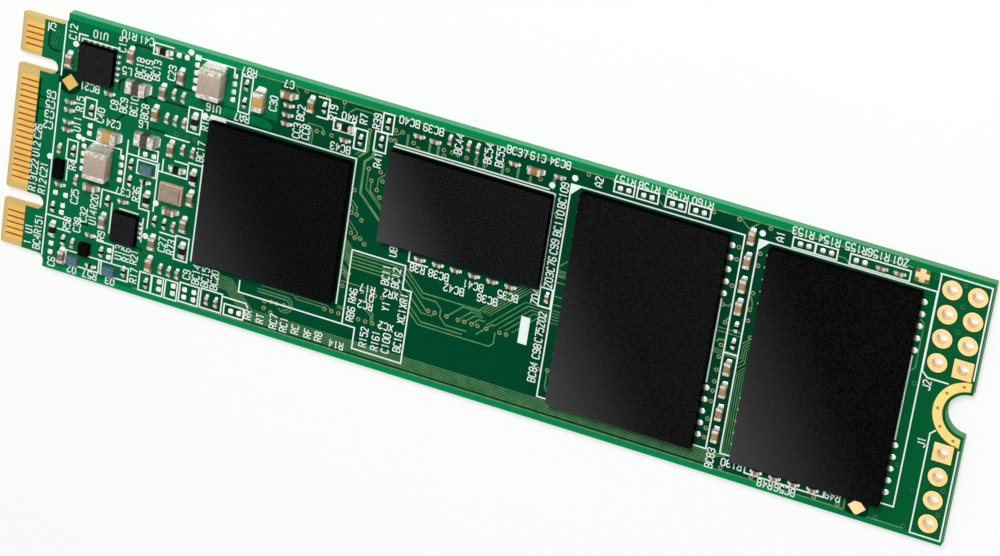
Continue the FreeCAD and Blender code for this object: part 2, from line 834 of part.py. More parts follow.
def capacitors():
    large = two_ended("large_master", "large_length", "large_width", "large_height", "large_end")
    group("large_capacitors", large, [at(POWER, 4.6, 1.85), at(CONTROLLER, -2.32, 8.5, ACROSS)])

    medium = two_ended("medium_master", "medium_length", "medium_width", "medium_height", "medium_end")
    group("tan_capacitors", medium, [
        at(POWER, 0.5, 7.2, ACROSS),
        at(POWER, 5.68, 9.05, ACROSS),
        at(POWER, 10.1, 8.5, ACROSS),
        at(POWER, 8.72, 6.8, ACROSS),
        at(POWER, 9.95, 2.3, ACROSS),
        at(POWER, 4.87, -5.5, ACROSS),
        at(POWER, 11.8, -3.75, ACROSS),
        at(POWER, 9.3, -6.05, ACROSS),
        at(POWER, 3.5, -2.95),
        at(POWER, 1.65, -9.55, ACROSS),
        at(POWER, 12.1, -1.35, ACROSS),
        at(POWER, 10.45, -2.95),
    ])
    group("orange_capacitors", medium, [
        at(POWER, 8.3, 4.85, ACROSS),
        at(POWER, 9.27, -7.95, ACROSS),
        at(CONTROLLER, 1.93, 9.35, ACROSS),
        at(CONTROLLER, -0.07, 9.6),
        at(MEMORY, 4.85, 9.35),
    ])
    column = (9.15, 7.15, 5.15, 3.3, -1.85, -3.75, -5.7, -7.6)
    group("flash_capacitors", medium, [
        ("%s - flash_width / 2 - flash_gap / 2" % FLASH_TWO, at(FLASH_TWO, 0, y)[1], ACROSS)
        for y in column])

    small = box("small_master", "small_length", "small_width", "small_height")
    below_memory = "memory_offset - memory_width / 2 - memory_row_gap"
    memory_row = [(along(MEMORY, -3.3 + 1.52 * step), below_memory, ALONG) for step in range(6)]
    flash_row = [beside_flash(FLASH_TWO, -3.97 + 1.53 * step, -1) for step in range(4)]
    group("small_capacitors", small, memory_row + flash_row + [
        at(POWER, 4.15, 5.35),
        at(POWER, 0.9, 3.7),
        at(POWER, 0.9, 3.0),
        at(POWER, 0.9, 2.0),
        at(POWER, 0.9, 1.3),
        at(POWER, 0.8, -3.5),
        at(POWER, 6.35, -3.35),
        at(POWER, 3.9, -7.05),
        at(POWER, 9.65, 6.85, ACROSS),
        at(POWER, 10.45, 6.8, ACROSS),
        at(POWER, 9.27, 4.7, ACROSS),
        at(POWER, 10.02, 4.7, ACROSS),
        at(POWER, 10.77, 4.7, ACROSS),
        at(POWER, 10.92, 2.45, ACROSS),
        at(POWER, 11.78, 2.45, ACROSS),
        at(POWER, 0.45, -0.5, ACROSS),
        at(POWER, 2.15, -2.75, ACROSS),
        at(POWER, 2.45, -8.25, ACROSS),
        at(POWER, 10.9, -4.25, ACROSS),
        at(POWER, 10.25, -8.1, ACROSS),
        at(POWER, 11, -8.1, ACROSS),
        at(POWER, 11.72, -8.1, ACROSS),
        at(CONTROLLER, -4.67, -9.5, ACROSS),
        at(CONTROLLER, -3.87, -9.5, ACROSS),
        at(CONTROLLER, 0.03, 8.75),
        at(CONTROLLER, 0.03, 7.95),
        at(CONTROLLER, 0.03, 7.2),
        at(CONTROLLER, 4.98, 7.25),
        at(MEMORY, -4.8, 9.35),
        at(MEMORY, -3.45, 9.3),
        at(MEMORY, -2.25, 9.75, ACROSS),
        at(MEMORY, -0.7, 9.7, ACROSS),
        at(MEMORY, 0.05, 9.7, ACROSS),
        at(MEMORY, 3.1, 9.4),
        at(MEMORY, 6.8, 9.4),
        (along(MEMORY, 7.35), below_memory, ACROSS),
        beside_flash(FLASH_TWO, 2.53, 1),
        beside_flash(FLASH_TWO, 3.93, 1),
    ])


def resistors():
    medium = two_ended("medium_resistor_master", "medium_length", "medium_width",
                       "medium_resistor_height", "medium_end")
    group("medium_resistors", medium, [
        at(POWER, 11.65, 5.15, ACROSS),
        at(POWER, 12.1, 0.45, ACROSS),
        at(POWER, 8.4, -2.55, ACROSS),
        at(POWER, 11.9, -5.95, ACROSS),
        at(POWER, 0.6, -7.5, ACROSS),
        at(POWER, 10.6, 0.7),
        near_side(POWER, 8.35, 1, 0.85),
        at(CONTROLLER, 4.93, 8.3),
    ])
    small = box("small_resistor_master", "small_length", "small_width", "small_resistor_height")
    group("small_resistors", small, [
        at(POWER, 2.8, 3.5, ACROSS),
        at(POWER, 1.65, -0.35, ACROSS),
        at(POWER, 6.7, 0, ACROSS),
        at(POWER, 6.75, -1.45, ACROSS),
        at(POWER, 0.4, -5.6, ACROSS),
        at(POWER, 5.05, -3.7, ACROSS),
        at(POWER, 1.6, -8.2, ACROSS),
        at(POWER, 5, -8.2, ACROSS),
        at(POWER, 7.1, -9.3, ACROSS),
        at(POWER, 9.25, -4.2, ACROSS),
        at(POWER, 10.1, -4.2, ACROSS),
        at(POWER, 9.15, -9.7, ACROSS),
        at(POWER, 8.05, -1.15),
        at(POWER, 4.2, -9.7),
        at(CONTROLLER, -3.62, 9.35, ACROSS),
        at(CONTROLLER, -3.62, 7.85, ACROSS),
        at(CONTROLLER, 2.98, 9.4, ACROSS),
        at(CONTROLLER, 6.28, 7.65, ACROSS),
        at(CONTROLLER, 8.33, 9.6, ACROSS),
        at(CONTROLLER, 7.98, 8.0, ACROSS),
        at(FLASH_ONE, 7.63, 1.6, ACROSS),
        at(FLASH_ONE, 7.63, 0.2, ACROSS),
    ])


def bare_pads():
    """Tinned lands that hold no part."""
    land = box("pad_master", "pad_side", "pad_side", "pad_height")
    places = []
    for step in range(4):
        places.append(at(POWER, 11.22, 9.8 - 0.66 * step))
        places.append(at(POWER, 14.5, 9.8 - 0.66 * step))
        places.append(at(POWER, 2.48, 0.3 - 0.65 * step))
        places.append(at(POWER, 5.8, 0.3 - 0.65 * step))
    for x in (9.6, 10.3):
        places.append(near_side(POWER, x, 1, 0.85))
    for x in (10.25, 11.48, 12.48, 13.3):
        places.append(at(POWER, x, -9.25))
        places.append(near_side(POWER, x, -1, 1.1))
    for x, y in ((2.8, 2.15), (2.8, 1.5), (7.75, 1.15), (8.5, 1.15), (0.45, -4.35), (1.35, -4.35),
                 (1.2, -5.3), (1.15, -5.9), (0.55, -8.8), (0.55, -9.55), (5.65, -7.9), (5.65, -8.5)):
        places.append(at(POWER, x, y))
    for x in (-2.57, -1.87):
        places.append(at(CONTROLLER, x, -9.85))
    for zone, middles, distance in ((FLASH_ONE, (-2.85, -0.97, 1.35, 3.23), "flash_row_gap + pad_side / 2"),
                                    (FLASH_TWO, (-3.55, -1.77, 0.85), "flash_row_gap")):
        for middle in middles:
            for shift in (-0.34, 0.34):
                places.append(beside_flash(zone, middle + shift, 1, distance))
    return group("bare_pads", land, places)


# Assembly

circuit_board()
solder_mask("solder_mask_top", TOP_SKIN, True)
solder_mask("solder_mask_bottom", "0", False)
contacts("contacts_top", TOP_SKIN, ((-18.5, 6), (-8.5, 19), (14.5, 5)))
contacts("contacts_bottom", "0", ((-18, 5), (-9, 20), (15, 4)))
screw_ring()
header_eyelets("long_header_eyelets", LONG_HEADER)
header_eyelets("short_header_eyelets", SHORT_HEADER)
fiducial_marks()
package("controller_package", CONTROLLER, "controller_offset",
        "controller_side", "controller_side", "controller_height")
package("memory_package", MEMORY, "memory_offset", "memory_length", "memory_width", "memory_height")
package("flash_package_1", FLASH_ONE, "0", "flash_width", "flash_length", "flash_height")
package("flash_package_2", FLASH_TWO, "0", "flash_width", "flash_length", "flash_height")
ball_grids(pillar("ball_master", "ball_radius", "ball_height"))
spare_balls()
power_chips()
small_packages()
crystal()
chokes_and_beads()
capacitors()
resistors()
bare_pads()
document.recompute()

NODES = """
circuit_board solder_mask_top solder_mask_bottom contacts_top contacts_bottom screw_ring
long_header_eyelets short_header_eyelets fiducial_marks
controller_package controller_balls memory_package memory_balls
flash_package_1 flash_package_2 flash_balls_1 flash_balls_2 spare_ball_lands
power_chip power_chip_leads switch_chip switch_chip_leads driver_chip supervisor_chip diodes
crystal_base crystal_lid chokes ferrite_beads large_capacitors tan_capacitors
orange_capacitors flash_capacitors small_capacitors medium_resistors small_resistors bare_pads
""".split()

faults = [item.Name for item in document.Objects if set(item.State) & {"Invalid", "Error"}]
if faults:
    raise RuntimeError("failed features: " + ", ".join(faults))
os.makedirs("parts", exist_ok=True)
pieces = {item.Label: item for item in document.Objects}
for label in NODES:
    shape = pieces[label].Shape
    if shape.isNull() or not shape.isValid():
        raise RuntimeError("bad shape: " + label)
for label in NODES:
    pieces[label].Shape.exportStep(os.path.join("parts", label + ".step"))
    print(label, len(pieces[label].Shape.Solids), round(pieces[label].Shape.Volume, 4))
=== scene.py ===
import math
import random

import bmesh
import bpy
from mathutils import Euler, Matrix, Vector


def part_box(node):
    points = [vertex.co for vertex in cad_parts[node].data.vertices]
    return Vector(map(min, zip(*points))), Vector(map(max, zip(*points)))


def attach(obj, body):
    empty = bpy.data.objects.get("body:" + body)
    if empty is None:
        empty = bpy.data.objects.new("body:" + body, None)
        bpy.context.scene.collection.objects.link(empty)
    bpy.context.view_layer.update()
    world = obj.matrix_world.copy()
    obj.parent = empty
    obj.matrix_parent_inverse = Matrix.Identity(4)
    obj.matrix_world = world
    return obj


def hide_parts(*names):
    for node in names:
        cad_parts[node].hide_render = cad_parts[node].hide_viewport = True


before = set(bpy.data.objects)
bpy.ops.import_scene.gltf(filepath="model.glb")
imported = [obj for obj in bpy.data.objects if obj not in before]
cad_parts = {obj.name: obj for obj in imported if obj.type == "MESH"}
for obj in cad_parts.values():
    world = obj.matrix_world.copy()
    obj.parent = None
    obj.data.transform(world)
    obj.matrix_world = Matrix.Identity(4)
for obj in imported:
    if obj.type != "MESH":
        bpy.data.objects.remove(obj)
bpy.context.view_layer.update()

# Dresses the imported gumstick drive: print, copper lines, solder and softened packages.
# Places are millimetres from the connector edge (x) and from the board's middle line (y).

MM = 0.001
EDGE_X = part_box("circuit_board")[0].x / MM
BOARD_LENGTH = (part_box("circuit_board")[1].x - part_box("circuit_board")[0].x) / MM
HALF_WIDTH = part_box("circuit_board")[1].y / MM
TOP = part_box("solder_mask_top")[1].z / MM
SUNK = 0.002
FOOT = TOP - SUNK
LAYER = 0.0001
LAYERS = 40
SHARPEST_MITRE = 0.5
WELD = 1e-7

# Low and high level of the flat forms on the mask, each kind a little above the one before
AREA_LEVELS = (FOOT, TOP + 0.002)
TRACE_LEVELS = (FOOT, TOP + 0.006)
VIA_LEVELS = (FOOT, TOP + 0.011)
PRINT_LEVELS = (FOOT, TOP + 0.013)
LETTER_LEVELS = (FOOT, TOP + 0.018)
MARK_LEVELS = (FOOT, TOP + 0.023)

random.seed(7)


# Forms

def strip_faces(count, closed=False):
    """Faces of a strip through sections of four corners: low and high on its right, then its left."""
    faces = [] if closed else [[0, 1, 3, 2]]
    for index in range(count if closed else count - 1):
        here, ahead = 4 * index, 4 * ((index + 1) % count)
        for a, b in ((1, 3), (2, 0), (0, 1), (3, 2)):
            faces.append([here + a, ahead + a, ahead + b, here + b])
    if not closed:
        end = 4 * (count - 1)
        faces.append([end, end + 2, end + 3, end + 1])
    return faces


class Form:
    """Corners and faces of one piece, in millimetres from the connector edge and middle line."""

    def __init__(self):
        self.corners = []
        self.faces = []
        self.finishes = []
        self.count = 0

    def lift(self, high):
        """A height a hair above that of the form before, so that flat forms never share a face."""
        self.count += 1
        return high + LAYER * (self.count % LAYERS)

    def add(self, corners, faces, finish=0):
        start = len(self.corners)
        self.corners += corners
        self.faces += [[start + index for index in face] for face in faces]
        self.finishes += [finish] * len(faces)

    def prism(self, outline, low, high, finish=0):
        """An outline, anticlockwise from above, made solid between two heights."""
        count = len(outline)
        high = self.lift(high)
        corners = [(x, y, low) for x, y in outline] + [(x, y, high) for x, y in outline]
        faces = [list(range(count - 1, -1, -1)), list(range(count, 2 * count))]
        for step in range(count):
            following = (step + 1) % count
            faces.append([step, following, count + following, count + step])
        self.add(corners, faces, finish)

    def ribbon(self, points, width, low, high, finish=0):
        """A flat line of even width through points, with mitred corners."""
        corners = []
        high = self.lift(high)
        route = [Vector(point) for point in points]
        ways = [(following - here).normalized() for here, following in zip(route, route[1:])]
        for here, before, after in zip(route, ways[:1] + ways, ways + ways[-1:]):
            ahead = (before + after).normalized()
            bend = max(SHARPEST_MITRE, ahead.dot(after))
            shift = Vector((-ahead.y, ahead.x)) * (width / 2 / bend)
            for side in (here - shift, here + shift):
                corners += [(side.x, side.y, low), (side.x, side.y, high)]
        self.add(corners, strip_faces(len(points)), finish)

    def ring(self, x, y, inner, outer, low, high, finish, sides, square=False):
        """A flat ring, with a round or a square outline round its hole."""
        corners = []
        for step in range(sides):
            angle = 2 * math.pi * step / sides
            reach = outer / max(abs(math.cos(angle)), abs(math.sin(angle))) if square else outer
            for radius in (reach, inner):
                place = (x + radius * math.cos(angle), y + radius * math.sin(angle))
                corners += [(*place, low), (*place, high)]
        self.add(corners, strip_faces(sides, True), finish)

    def piece(self, name, *finishes):
        mesh = bpy.data.meshes.new(name)
        corners = [((x + EDGE_X) * MM, y * MM, z * MM) for x, y, z in self.corners]
        mesh.from_pydata(corners, [], self.faces)
        for finish in finishes:
            mesh.materials.append(finish)
        mesh.polygons.foreach_set("material_index", self.finishes)
        return show(name, mesh)


def add_item(name, data):
    """A new object of the scene."""
    item = bpy.data.objects.new(name, data)
    bpy.context.scene.collection.objects.link(item)
    return item


def show(name, mesh):
    """A mesh as an object of the scene that rides on the board."""
    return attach(add_item(name, mesh), "root")


def circle(x, y, radius, sides=16, start=0.0, stop=360.0):
    """Points round a circle, anticlockwise, or along a part of it."""
    whole = abs(stop - start) >= 360
    count = sides if whole else sides + 1
    points = []
    for step in range(count):
        angle = math.radians(start + (stop - start) * step / sides)
        points.append((x + radius * math.cos(angle), y + radius * math.sin(angle)))
    return points


def rectangle(left, low, right, high):
    return [(left, low), (right, low), (right, high), (left, high)]


# Materials

TONE_PLACES = (0.35, 0.65)
BUMP_DEPTH = 0.02


def seen(red, green, blue):
    """A colour as it is seen on a screen, 0 to 255, made linear."""
    linear = []
    for level in (red, green, blue):
        share = level / 255
        linear.append(share / 12.92 if share <= 0.04045 else ((share + 0.055) / 1.055) ** 2.4)
    return (*linear, 1.0)


def fill(tree, node, values):
    """Sets inputs of a node to values, or links them to outputs of other nodes."""
    for name, value in values.items():
        if isinstance(value, bpy.types.NodeSocket):
            tree.links.new(value, node.inputs[name])
        else:
            node.inputs[name].default_value = value


def add_node(tree, kind, values, **settings):
    """A shader node with its settings, its values and its links."""
    node = tree.nodes.new("ShaderNode" + kind)
    for setting, value in settings.items():
        setattr(node, setting, value)
    fill(tree, node, values)
    return node


def surface(name, dark, light, grain, roughness, metallic, specular, bump=0.3, bump_grain=0.1):
    """A finish whose colour drifts between two tones, with grains of a size in millimetres."""
    made = bpy.data.materials.new(name)
    made.use_nodes = True
    tree = made.node_tree
    shader = tree.nodes["Principled BSDF"]
    place = add_node(tree, "TexCoord", {}).outputs["Object"]
    cloud = add_node(tree, "TexNoise", {"Scale": 1 / (grain * MM), "Detail": 3, "Vector": place})
    tones = add_node(tree, "ValToRGB", {"Fac": cloud.outputs["Fac"]})
    for element, position, tone in zip(tones.color_ramp.elements, TONE_PLACES, (dark, light)):
        element.position = position
        element.color = seen(*tone)
    fill(tree, shader, {"Roughness": roughness, "Metallic": metallic, "Specular IOR Level": specular,
                        "Base Color": tones.outputs["Color"]})
    if bump:
        fine = add_node(tree, "TexNoise", {"Scale": 1 / (bump_grain * MM), "Detail": 2, "Vector": place})
        relief = add_node(tree, "Bump", {"Strength": bump, "Distance": BUMP_DEPTH * MM,
                                         "Height": fine.outputs["Fac"]})
        fill(tree, shader, {"Normal": relief.outputs["Normal"]})
    return made


def colour_parts(made):
    """The node tree of a finish, its shader, its colour as it is now and its place on the board."""
    tree = made.node_tree
    shader = tree.nodes["Principled BSDF"]
    place = tree.nodes["Texture Coordinate"].outputs["Object"]
    return tree, shader, shader.inputs["Base Color"].links[0].from_socket, place


def toned_along(made, stops, share):
    """Blends a finish with tones that change along the board: stops are places in mm and colours."""
    tree, shader, colour, place = colour_parts(made)
    axes = add_node(tree, "SeparateXYZ", {"Vector": place})
    along = add_node(tree, "MapRange", {"From Min": EDGE_X * MM, "From Max": (EDGE_X + BOARD_LENGTH) * MM,
                                        "Value": axes.outputs["X"]})
    tones = add_node(tree, "ValToRGB", {"Fac": along.outputs["Result"]})
    ramp = tones.color_ramp.elements
    for stop in stops[1:-1]:
        ramp.new(stop[0] / BOARD_LENGTH)
    for element, (stop, tone) in zip(ramp, stops):
        element.position = stop / BOARD_LENGTH
        element.color = seen(*tone)
    blend = add_node(tree, "Mix", {"Factor": share, "A": colour, "B": tones.outputs["Color"]},
                     data_type="RGBA")
    fill(tree, shader, {"Base Color": blend.outputs["Result"]})


def painted_sheen(name, node, dark, light, glow, reach, specular):
    """A moulded finish for one package with a painted sheen: a glow colour added towards its corner
    nearest the connector.
    """
    made = surface(name, dark, light, 0.13, 0.45, 0.0, specular, 0.6, 0.09)
    tree, shader, colour, place = colour_parts(made)
    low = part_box(node)[0]
    start = low.x + SHEEN_LEAN * low.y
    away = add_node(tree, "VectorMath", {0: place, 1: (1, SHEEN_LEAN, 0)}, operation="DOT_PRODUCT")
    fade = add_node(tree, "MapRange", {"From Min": start - reach * MM, "From Max": start + reach * MM,
                                       "To Min": 1.0, "To Max": 0.0, "Value": away.outputs["Value"]},
                    interpolation_type="SMOOTHSTEP")
    added = add_node(tree, "Mix", {"Factor": fade.outputs["Result"], "A": colour, "B": seen(*glow)},
                     data_type="RGBA", blend_type="ADD")
    fill(tree, shader, {"Base Color": added.outputs["Result"]})
    return made


MASK_TONES = [(0, (10, 118, 72)), (14.5, (6, 114, 68)), (18.5, (0, 76, 45)), (45, (0, 66, 40)),
              (62, (0, 60, 38)), (74, (0, 94, 48)), (80, (10, 100, 50))]
LAMINATE_TONES = [(0, (214, 184, 112)), (1.95, (216, 186, 114)), (2.05, (216, 190, 120)),
                  (3.7, (214, 190, 120)), (4.1, (53, 167, 114)), (67, (50, 165, 110)),
                  (70, (62, 154, 108)), (77.6, (60, 154, 108)), (78.4, (66, 148, 98)),
                  (80, (66, 148, 98))]
BORDER_TONES = [(0, (6, 136, 84)), (30, (2, 138, 78)), (66, (2, 138, 78)), (70, (2, 114, 64)),
                (80, (2, 114, 64))]
MARK_TONES = [(0, (228, 181, 96)), (10, (228, 181, 96)), (60, (252, 226, 166)), (80, (252, 226, 166))]

# Grain, roughness, metallic, specular, bump and bump grain of finishes that differ in colour only
MASK = (1.4, 0.3, 0.0, 0.012, 0.25, 0.35)
PLATING = (1.2, 0.4, 1.0, 0.5, 0.1, 0.2)
CERAMIC = (0.2, 0.4, 0.0, 0.25)

# The painted sheen of a package fades along the board, and across it by this share
SHEEN_LEAN = 0.62

GREEN = surface("solder_mask_green", (0, 72, 40), (0, 84, 48), *MASK)
POWER_GREEN = surface("solder_mask_power", (2, 106, 62), (8, 120, 72), *MASK)
CLEAR_GREEN = surface("solder_mask_clear", (0, 132, 76), (8, 148, 88), 1.2, 0.3, 0.0, 0.015, 0.2, 0.3)
DARK_GREEN = surface("solder_mask_dark", (0, 44, 26), (0, 54, 32), 1.2, 0.3, 0.0, 0.012, 0.2, 0.3)
TRACE_GREEN = surface("masked_copper", (78, 132, 82), (110, 154, 102), 0.8, 0.3, 0.0, 0.015, 0.2, 0.3)
COVERED_GREEN = surface("covered_copper", (40, 104, 62), (80, 126, 86), 0.4, 0.5, 0.0, 0.02, 0.2, 0.1)
# Brown of bare laminate round the far cross, and painted shade in the gaps between contacts
BARE_BROWN_AND_SHADE = surface("bare_laminate_and_painted_shade", (120, 84, 44), (148, 104, 58), 0.4, 0.6, 0.0, 0.2)
LAMINATE = surface("glass_laminate", (206, 184, 116), (226, 204, 136), 0.5, 0.6, 0.0, 0.15)
GOLD = surface("gold_plating", (238, 182, 92), (250, 196, 102), 1.5, 0.34, 1.0, 0.5, 0.15, 0.15)
PALE_GOLD = surface("pale_gold_plating", (246, 212, 140), (253, 224, 156), *PLATING)
MARK_GOLD = surface("fiducial_gold_plating", (230, 184, 100), (253, 224, 156), *PLATING)
RING_GOLD = surface("ring_gold_plating", (248, 214, 124), (255, 224, 134), *PLATING)
# Paler and less metallic than the pads' plating: painted light on the barrel walls, which lie in shade
BORE_GOLD_PAINTED_LIGHT = surface("bore_plating_painted_light", (238, 212, 172), (248, 226, 190), 1.2, 0.55, 0.4, 0.5, 0.1, 0.2)
DARK_GOLD = surface("ring_via_gold", (176, 112, 44), (196, 130, 58), 0.3, 0.5, 0.8, 0.5, 0.2, 0.1)
VIA_GOLD = surface("via_copper", (126, 140, 94), (162, 166, 120), 0.4, 0.5, 0.3, 0.3, 0.2, 0.1)
SOLDER = surface("solder_metal", (226, 221, 212), (255, 254, 250), 0.22, 0.24, 0.6, 0.5, 0.25, 0.2)
END_METAL = surface("tinned_ends", (172, 164, 150), (248, 241, 228), 0.22, 0.28, 0.5, 0.5, 0.25, 0.2)
LID_METAL = surface("lid_metal", (142, 130, 113), (160, 147, 130), 0.3, 0.45, 0.7, 0.5, 0.2, 0.1)
BLACK_MOULD = surface("black_mould", (2, 2, 3), (17, 17, 18), 0.09, 0.45, 0.0, 0.015, 0.6, 0.09)
CHIP_MOULD = surface("chip_mould", (16, 16, 17), (40, 40, 41), 0.09, 0.45, 0.0, 0.02, 0.6, 0.09)
# Near black for the steep sides of packages: painted shade, darker than their tops
SIDE_MOULD_PAINTED_SHADE = surface("side_mould_painted_shade", (0, 0, 0), (2, 2, 3), 0.2, 0.5, 0.0, 0.004, 0.4, 0.12)
BLUE_MOULD = surface("blue_grey_mould", (70, 94, 114), (94, 122, 140), 0.15, 0.45, 0.0, 0.2)
TAN_CERAMIC = surface("tan_ceramic", (148, 116, 84), (178, 146, 108), *CERAMIC)
BROWN_CERAMIC = surface("brown_ceramic", (120, 98, 74), (154, 132, 104), *CERAMIC)
ORANGE_CERAMIC = surface("orange_ceramic", (142, 102, 59), (168, 128, 82), *CERAMIC)
YELLOW_CERAMIC = surface("yellow_ceramic", (186, 148, 82), (206, 168, 100), *CERAMIC)
DARK_CERAMIC = surface("dark_ceramic", (56, 50, 45), (84, 76, 68), 0.2, 0.45, 0.0, 0.25)
CHOKE_CERAMIC = surface("choke_ceramic", (172, 154, 140), (190, 172, 156), 0.12, 0.5, 0.0, 0.2, 0.3, 0.08)
PEACH_CERAMIC = surface("peach_ceramic", (196, 152, 128), (214, 178, 156), 0.25, 0.5, 0.0, 0.2)
BLACK_FILM = surface("black_film", (8, 7, 8), (22, 19, 19), 0.15, 0.35, 0.0, 0.1, 0.4, 0.08)
PRINT_WHITE = surface("white_print", (232, 246, 239), (246, 254, 249), 0.15, 0.6, 0.0, 0.3, 0.3, 0.08)

# The four large package moulds carry a painted sheen, lighter towards their corners nearest the connector
CONTROLLER_MOULD_PAINTED_SHEEN = painted_sheen("controller_mould", "controller_package", (0, 0, 0), (24, 24, 25),
                         (70, 70, 72), 10.2, 0.009)
GREY_MOULD_PAINTED_SHEEN = painted_sheen("grey_mould", "memory_package", (1, 1, 2), (32, 32, 34), (91, 91, 94), 8.6, 0.02)
FLASH_MOULD_1_PAINTED_SHEEN = painted_sheen("flash_mould_1", "flash_package_1", (7, 7, 8), (24, 24, 25),
                      (86, 86, 88), 11, 0.018)
FLASH_MOULD_2_PAINTED_SHEEN = painted_sheen("flash_mould_2", "flash_package_2", (0, 0, 0), (19, 19, 20),
                      (87, 87, 89), 13.2, 0.014)

toned_along(GREEN, MASK_TONES, 0.72)
toned_along(CLEAR_GREEN, BORDER_TONES, 0.8)
toned_along(LAMINATE, LAMINATE_TONES, 0.96)
toned_along(MARK_GOLD, MARK_TONES, 0.9)


# Pieces of the frame

def dress(node, finish):
    """Gives a CAD node its finish."""
    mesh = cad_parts[node].data
    mesh.materials.clear()
    mesh.materials.append(finish)


def separate_boxes(node):
    """The low and high corner of each separate solid of a CAD node, in millimetres, in order."""
    mesh = bmesh.new()
    mesh.from_mesh(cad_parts[node].data)
    bmesh.ops.remove_doubles(mesh, verts=mesh.verts, dist=WELD)
    waiting = set(mesh.verts)
    boxes = []
    while waiting:
        found = [waiting.pop()]
        for corner in found:
            for edge in corner.link_edges:
                other = edge.other_vert(corner)
                if other in waiting:
                    waiting.discard(other)
                    found.append(other)
        low = [min(corner.co[axis] for corner in found) / MM for axis in range(3)]
        high = [max(corner.co[axis] for corner in found) / MM for axis in range(3)]
        boxes.append((round(low[0] - EDGE_X, 4), round(low[1], 4), low, high))
    mesh.free()
    boxes.sort(key=lambda item: item[:2])
    return [item[2:] for item in boxes]


def middle(low, high):
    """The middle of a box, from the connector edge and from the board's middle line."""
    return (low[0] + high[0]) / 2 - EDGE_X, (low[1] + high[1]) / 2


# Faces steeper than this take the side finish, which for packages is a painted shade
SIDE_SLOPE = 0.5


def softened(node, name, finish, ease=0.03, side_finish=SIDE_MOULD_PAINTED_SHADE):
    """A copy of a CAD node with its edges eased, which stands for the node; its steep sides take a second
    finish, by default a darker mould as painted shade.
    """
    mesh = bmesh.new()
    mesh.from_mesh(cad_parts[node].data)
    bmesh.ops.remove_doubles(mesh, verts=mesh.verts, dist=WELD)
    bmesh.ops.dissolve_limit(mesh, angle_limit=math.radians(1), verts=mesh.verts, edges=mesh.edges)
    bmesh.ops.bevel(mesh, geom=mesh.edges[:], offset=ease * MM, segments=2, profile=0.5,
                    affect="EDGES", clamp_overlap=True)
    made = bpy.data.meshes.new(name)
    mesh.to_mesh(made)
    mesh.free()
    made.materials.append(finish)
    made.materials.append(side_finish)
    for face in made.polygons:
        face.material_index = 1 if abs(face.normal.z) < SIDE_SLOPE else 0
    item = show(name, made)
    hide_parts(node)


def rounded_block(length, width, low, high, ease):
    """Corners and faces of a block about the middle, with its edges rounded."""
    mesh = bmesh.new()
    size = Matrix.Diagonal((length, width, high - low, 1))
    bmesh.ops.create_cube(mesh, size=1, matrix=Matrix.Translation((0, 0, (low + high) / 2)) @ size)
    bmesh.ops.bevel(mesh, geom=mesh.edges[:], offset=ease, segments=2, profile=0.5, affect="EDGES")
    mesh.verts.index_update()
    corners = [tuple(corner.co) for corner in mesh.verts]
    faces = [[corner.index for corner in face.verts] for face in mesh.faces]
    mesh.free()
    return corners, faces


FILLET_STEPS = 4
FILLET_SUNK = 0.02
FILLET_TOE = 0.02
FILLET_HOLLOW = 1.6
FILLET_TAPER = 0.3
FILLET_LEAN = 0.97


def fillet_block(start, reach, width, foot, height):
    """Solder that runs down from a chip's end to its land in a hollow curve."""
    corners = []
    half = width / 2
    for step in range(FILLET_STEPS + 1):
        share = step / FILLET_STEPS
        x = start + reach * share
        z = foot + FILLET_TOE + (height - FILLET_TOE) * (1 - share) ** FILLET_HOLLOW
        spread = half * (1 - FILLET_TAPER * share * share)
        top = spread * FILLET_LEAN
        corners += [(x, -spread, foot), (x, -top, z), (x, spread, foot), (x, top, z)]
    return corners, strip_faces(FILLET_STEPS + 1)


def placed(corners, x, y, across):
    """Corners moved to a place, and turned a quarter where the chip lies across the board."""
    if across:
        return [(x - b, y + a, z) for a, b, z in corners]
    return [(x + a, y + b, z) for a, b, z in corners]


SOLDER_FORM = Form()
BODY_STEP = 0.02
CAP_OVERLAP = 1.2
EASE_SHARE = 0.15
CLIMB_SPREAD = (0.85, 1.1)


def chips(node, finish, end_length, reach, climb=0.55, ease=0.05):
    """Two-ended chips with rounded bodies and caps, and solder drawn up their ends from the lands."""
    form = Form()
    for low, high in separate_boxes(node):
        sizes = [high[axis] - low[axis] for axis in range(3)]
        across = sizes[1] > sizes[0]
        length, width = (sizes[1], sizes[0]) if across else (sizes[0], sizes[1])
        x, y = middle(low, high)
        ease = min(ease, sizes[2] * EASE_SHARE)
        corners, faces = rounded_block(length - CAP_OVERLAP * end_length, width - BODY_STEP,
                                       low[2], high[2] - BODY_STEP, ease)
        form.add(placed(corners, x, y, across), faces, 0)
        for side in (-1, 1):
            corners, faces = rounded_block(end_length, width, low[2], high[2], ease)
            shift = side * (length - end_length) / 2
            corners = [(a + shift, b, z) for a, b, z in corners]
            form.add(placed(corners, x, y, across), faces, 1)
            height = sizes[2] * climb * random.uniform(*CLIMB_SPREAD)
            corners, faces = fillet_block(length / 2 - FILLET_SUNK, reach, width - 2 * FILLET_SUNK,
                                          FOOT, height)
            if side < 0:
                corners = [(-a, -b, z) for a, b, z in corners]
            SOLDER_FORM.add(placed(corners, x, y, across), faces, 0)
    item = form.piece("dressed_" + node, finish, END_METAL)
    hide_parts(node)
    smooth(item, 40)


def smooth(item, angle):
    """Shades gentle edges smooth and keeps the sharp ones."""
    mesh = item.data
    mesh.polygons.foreach_set("use_smooth", [True] * len(mesh.polygons))
    mesh.set_sharp_from_angle(angle=math.radians(angle))


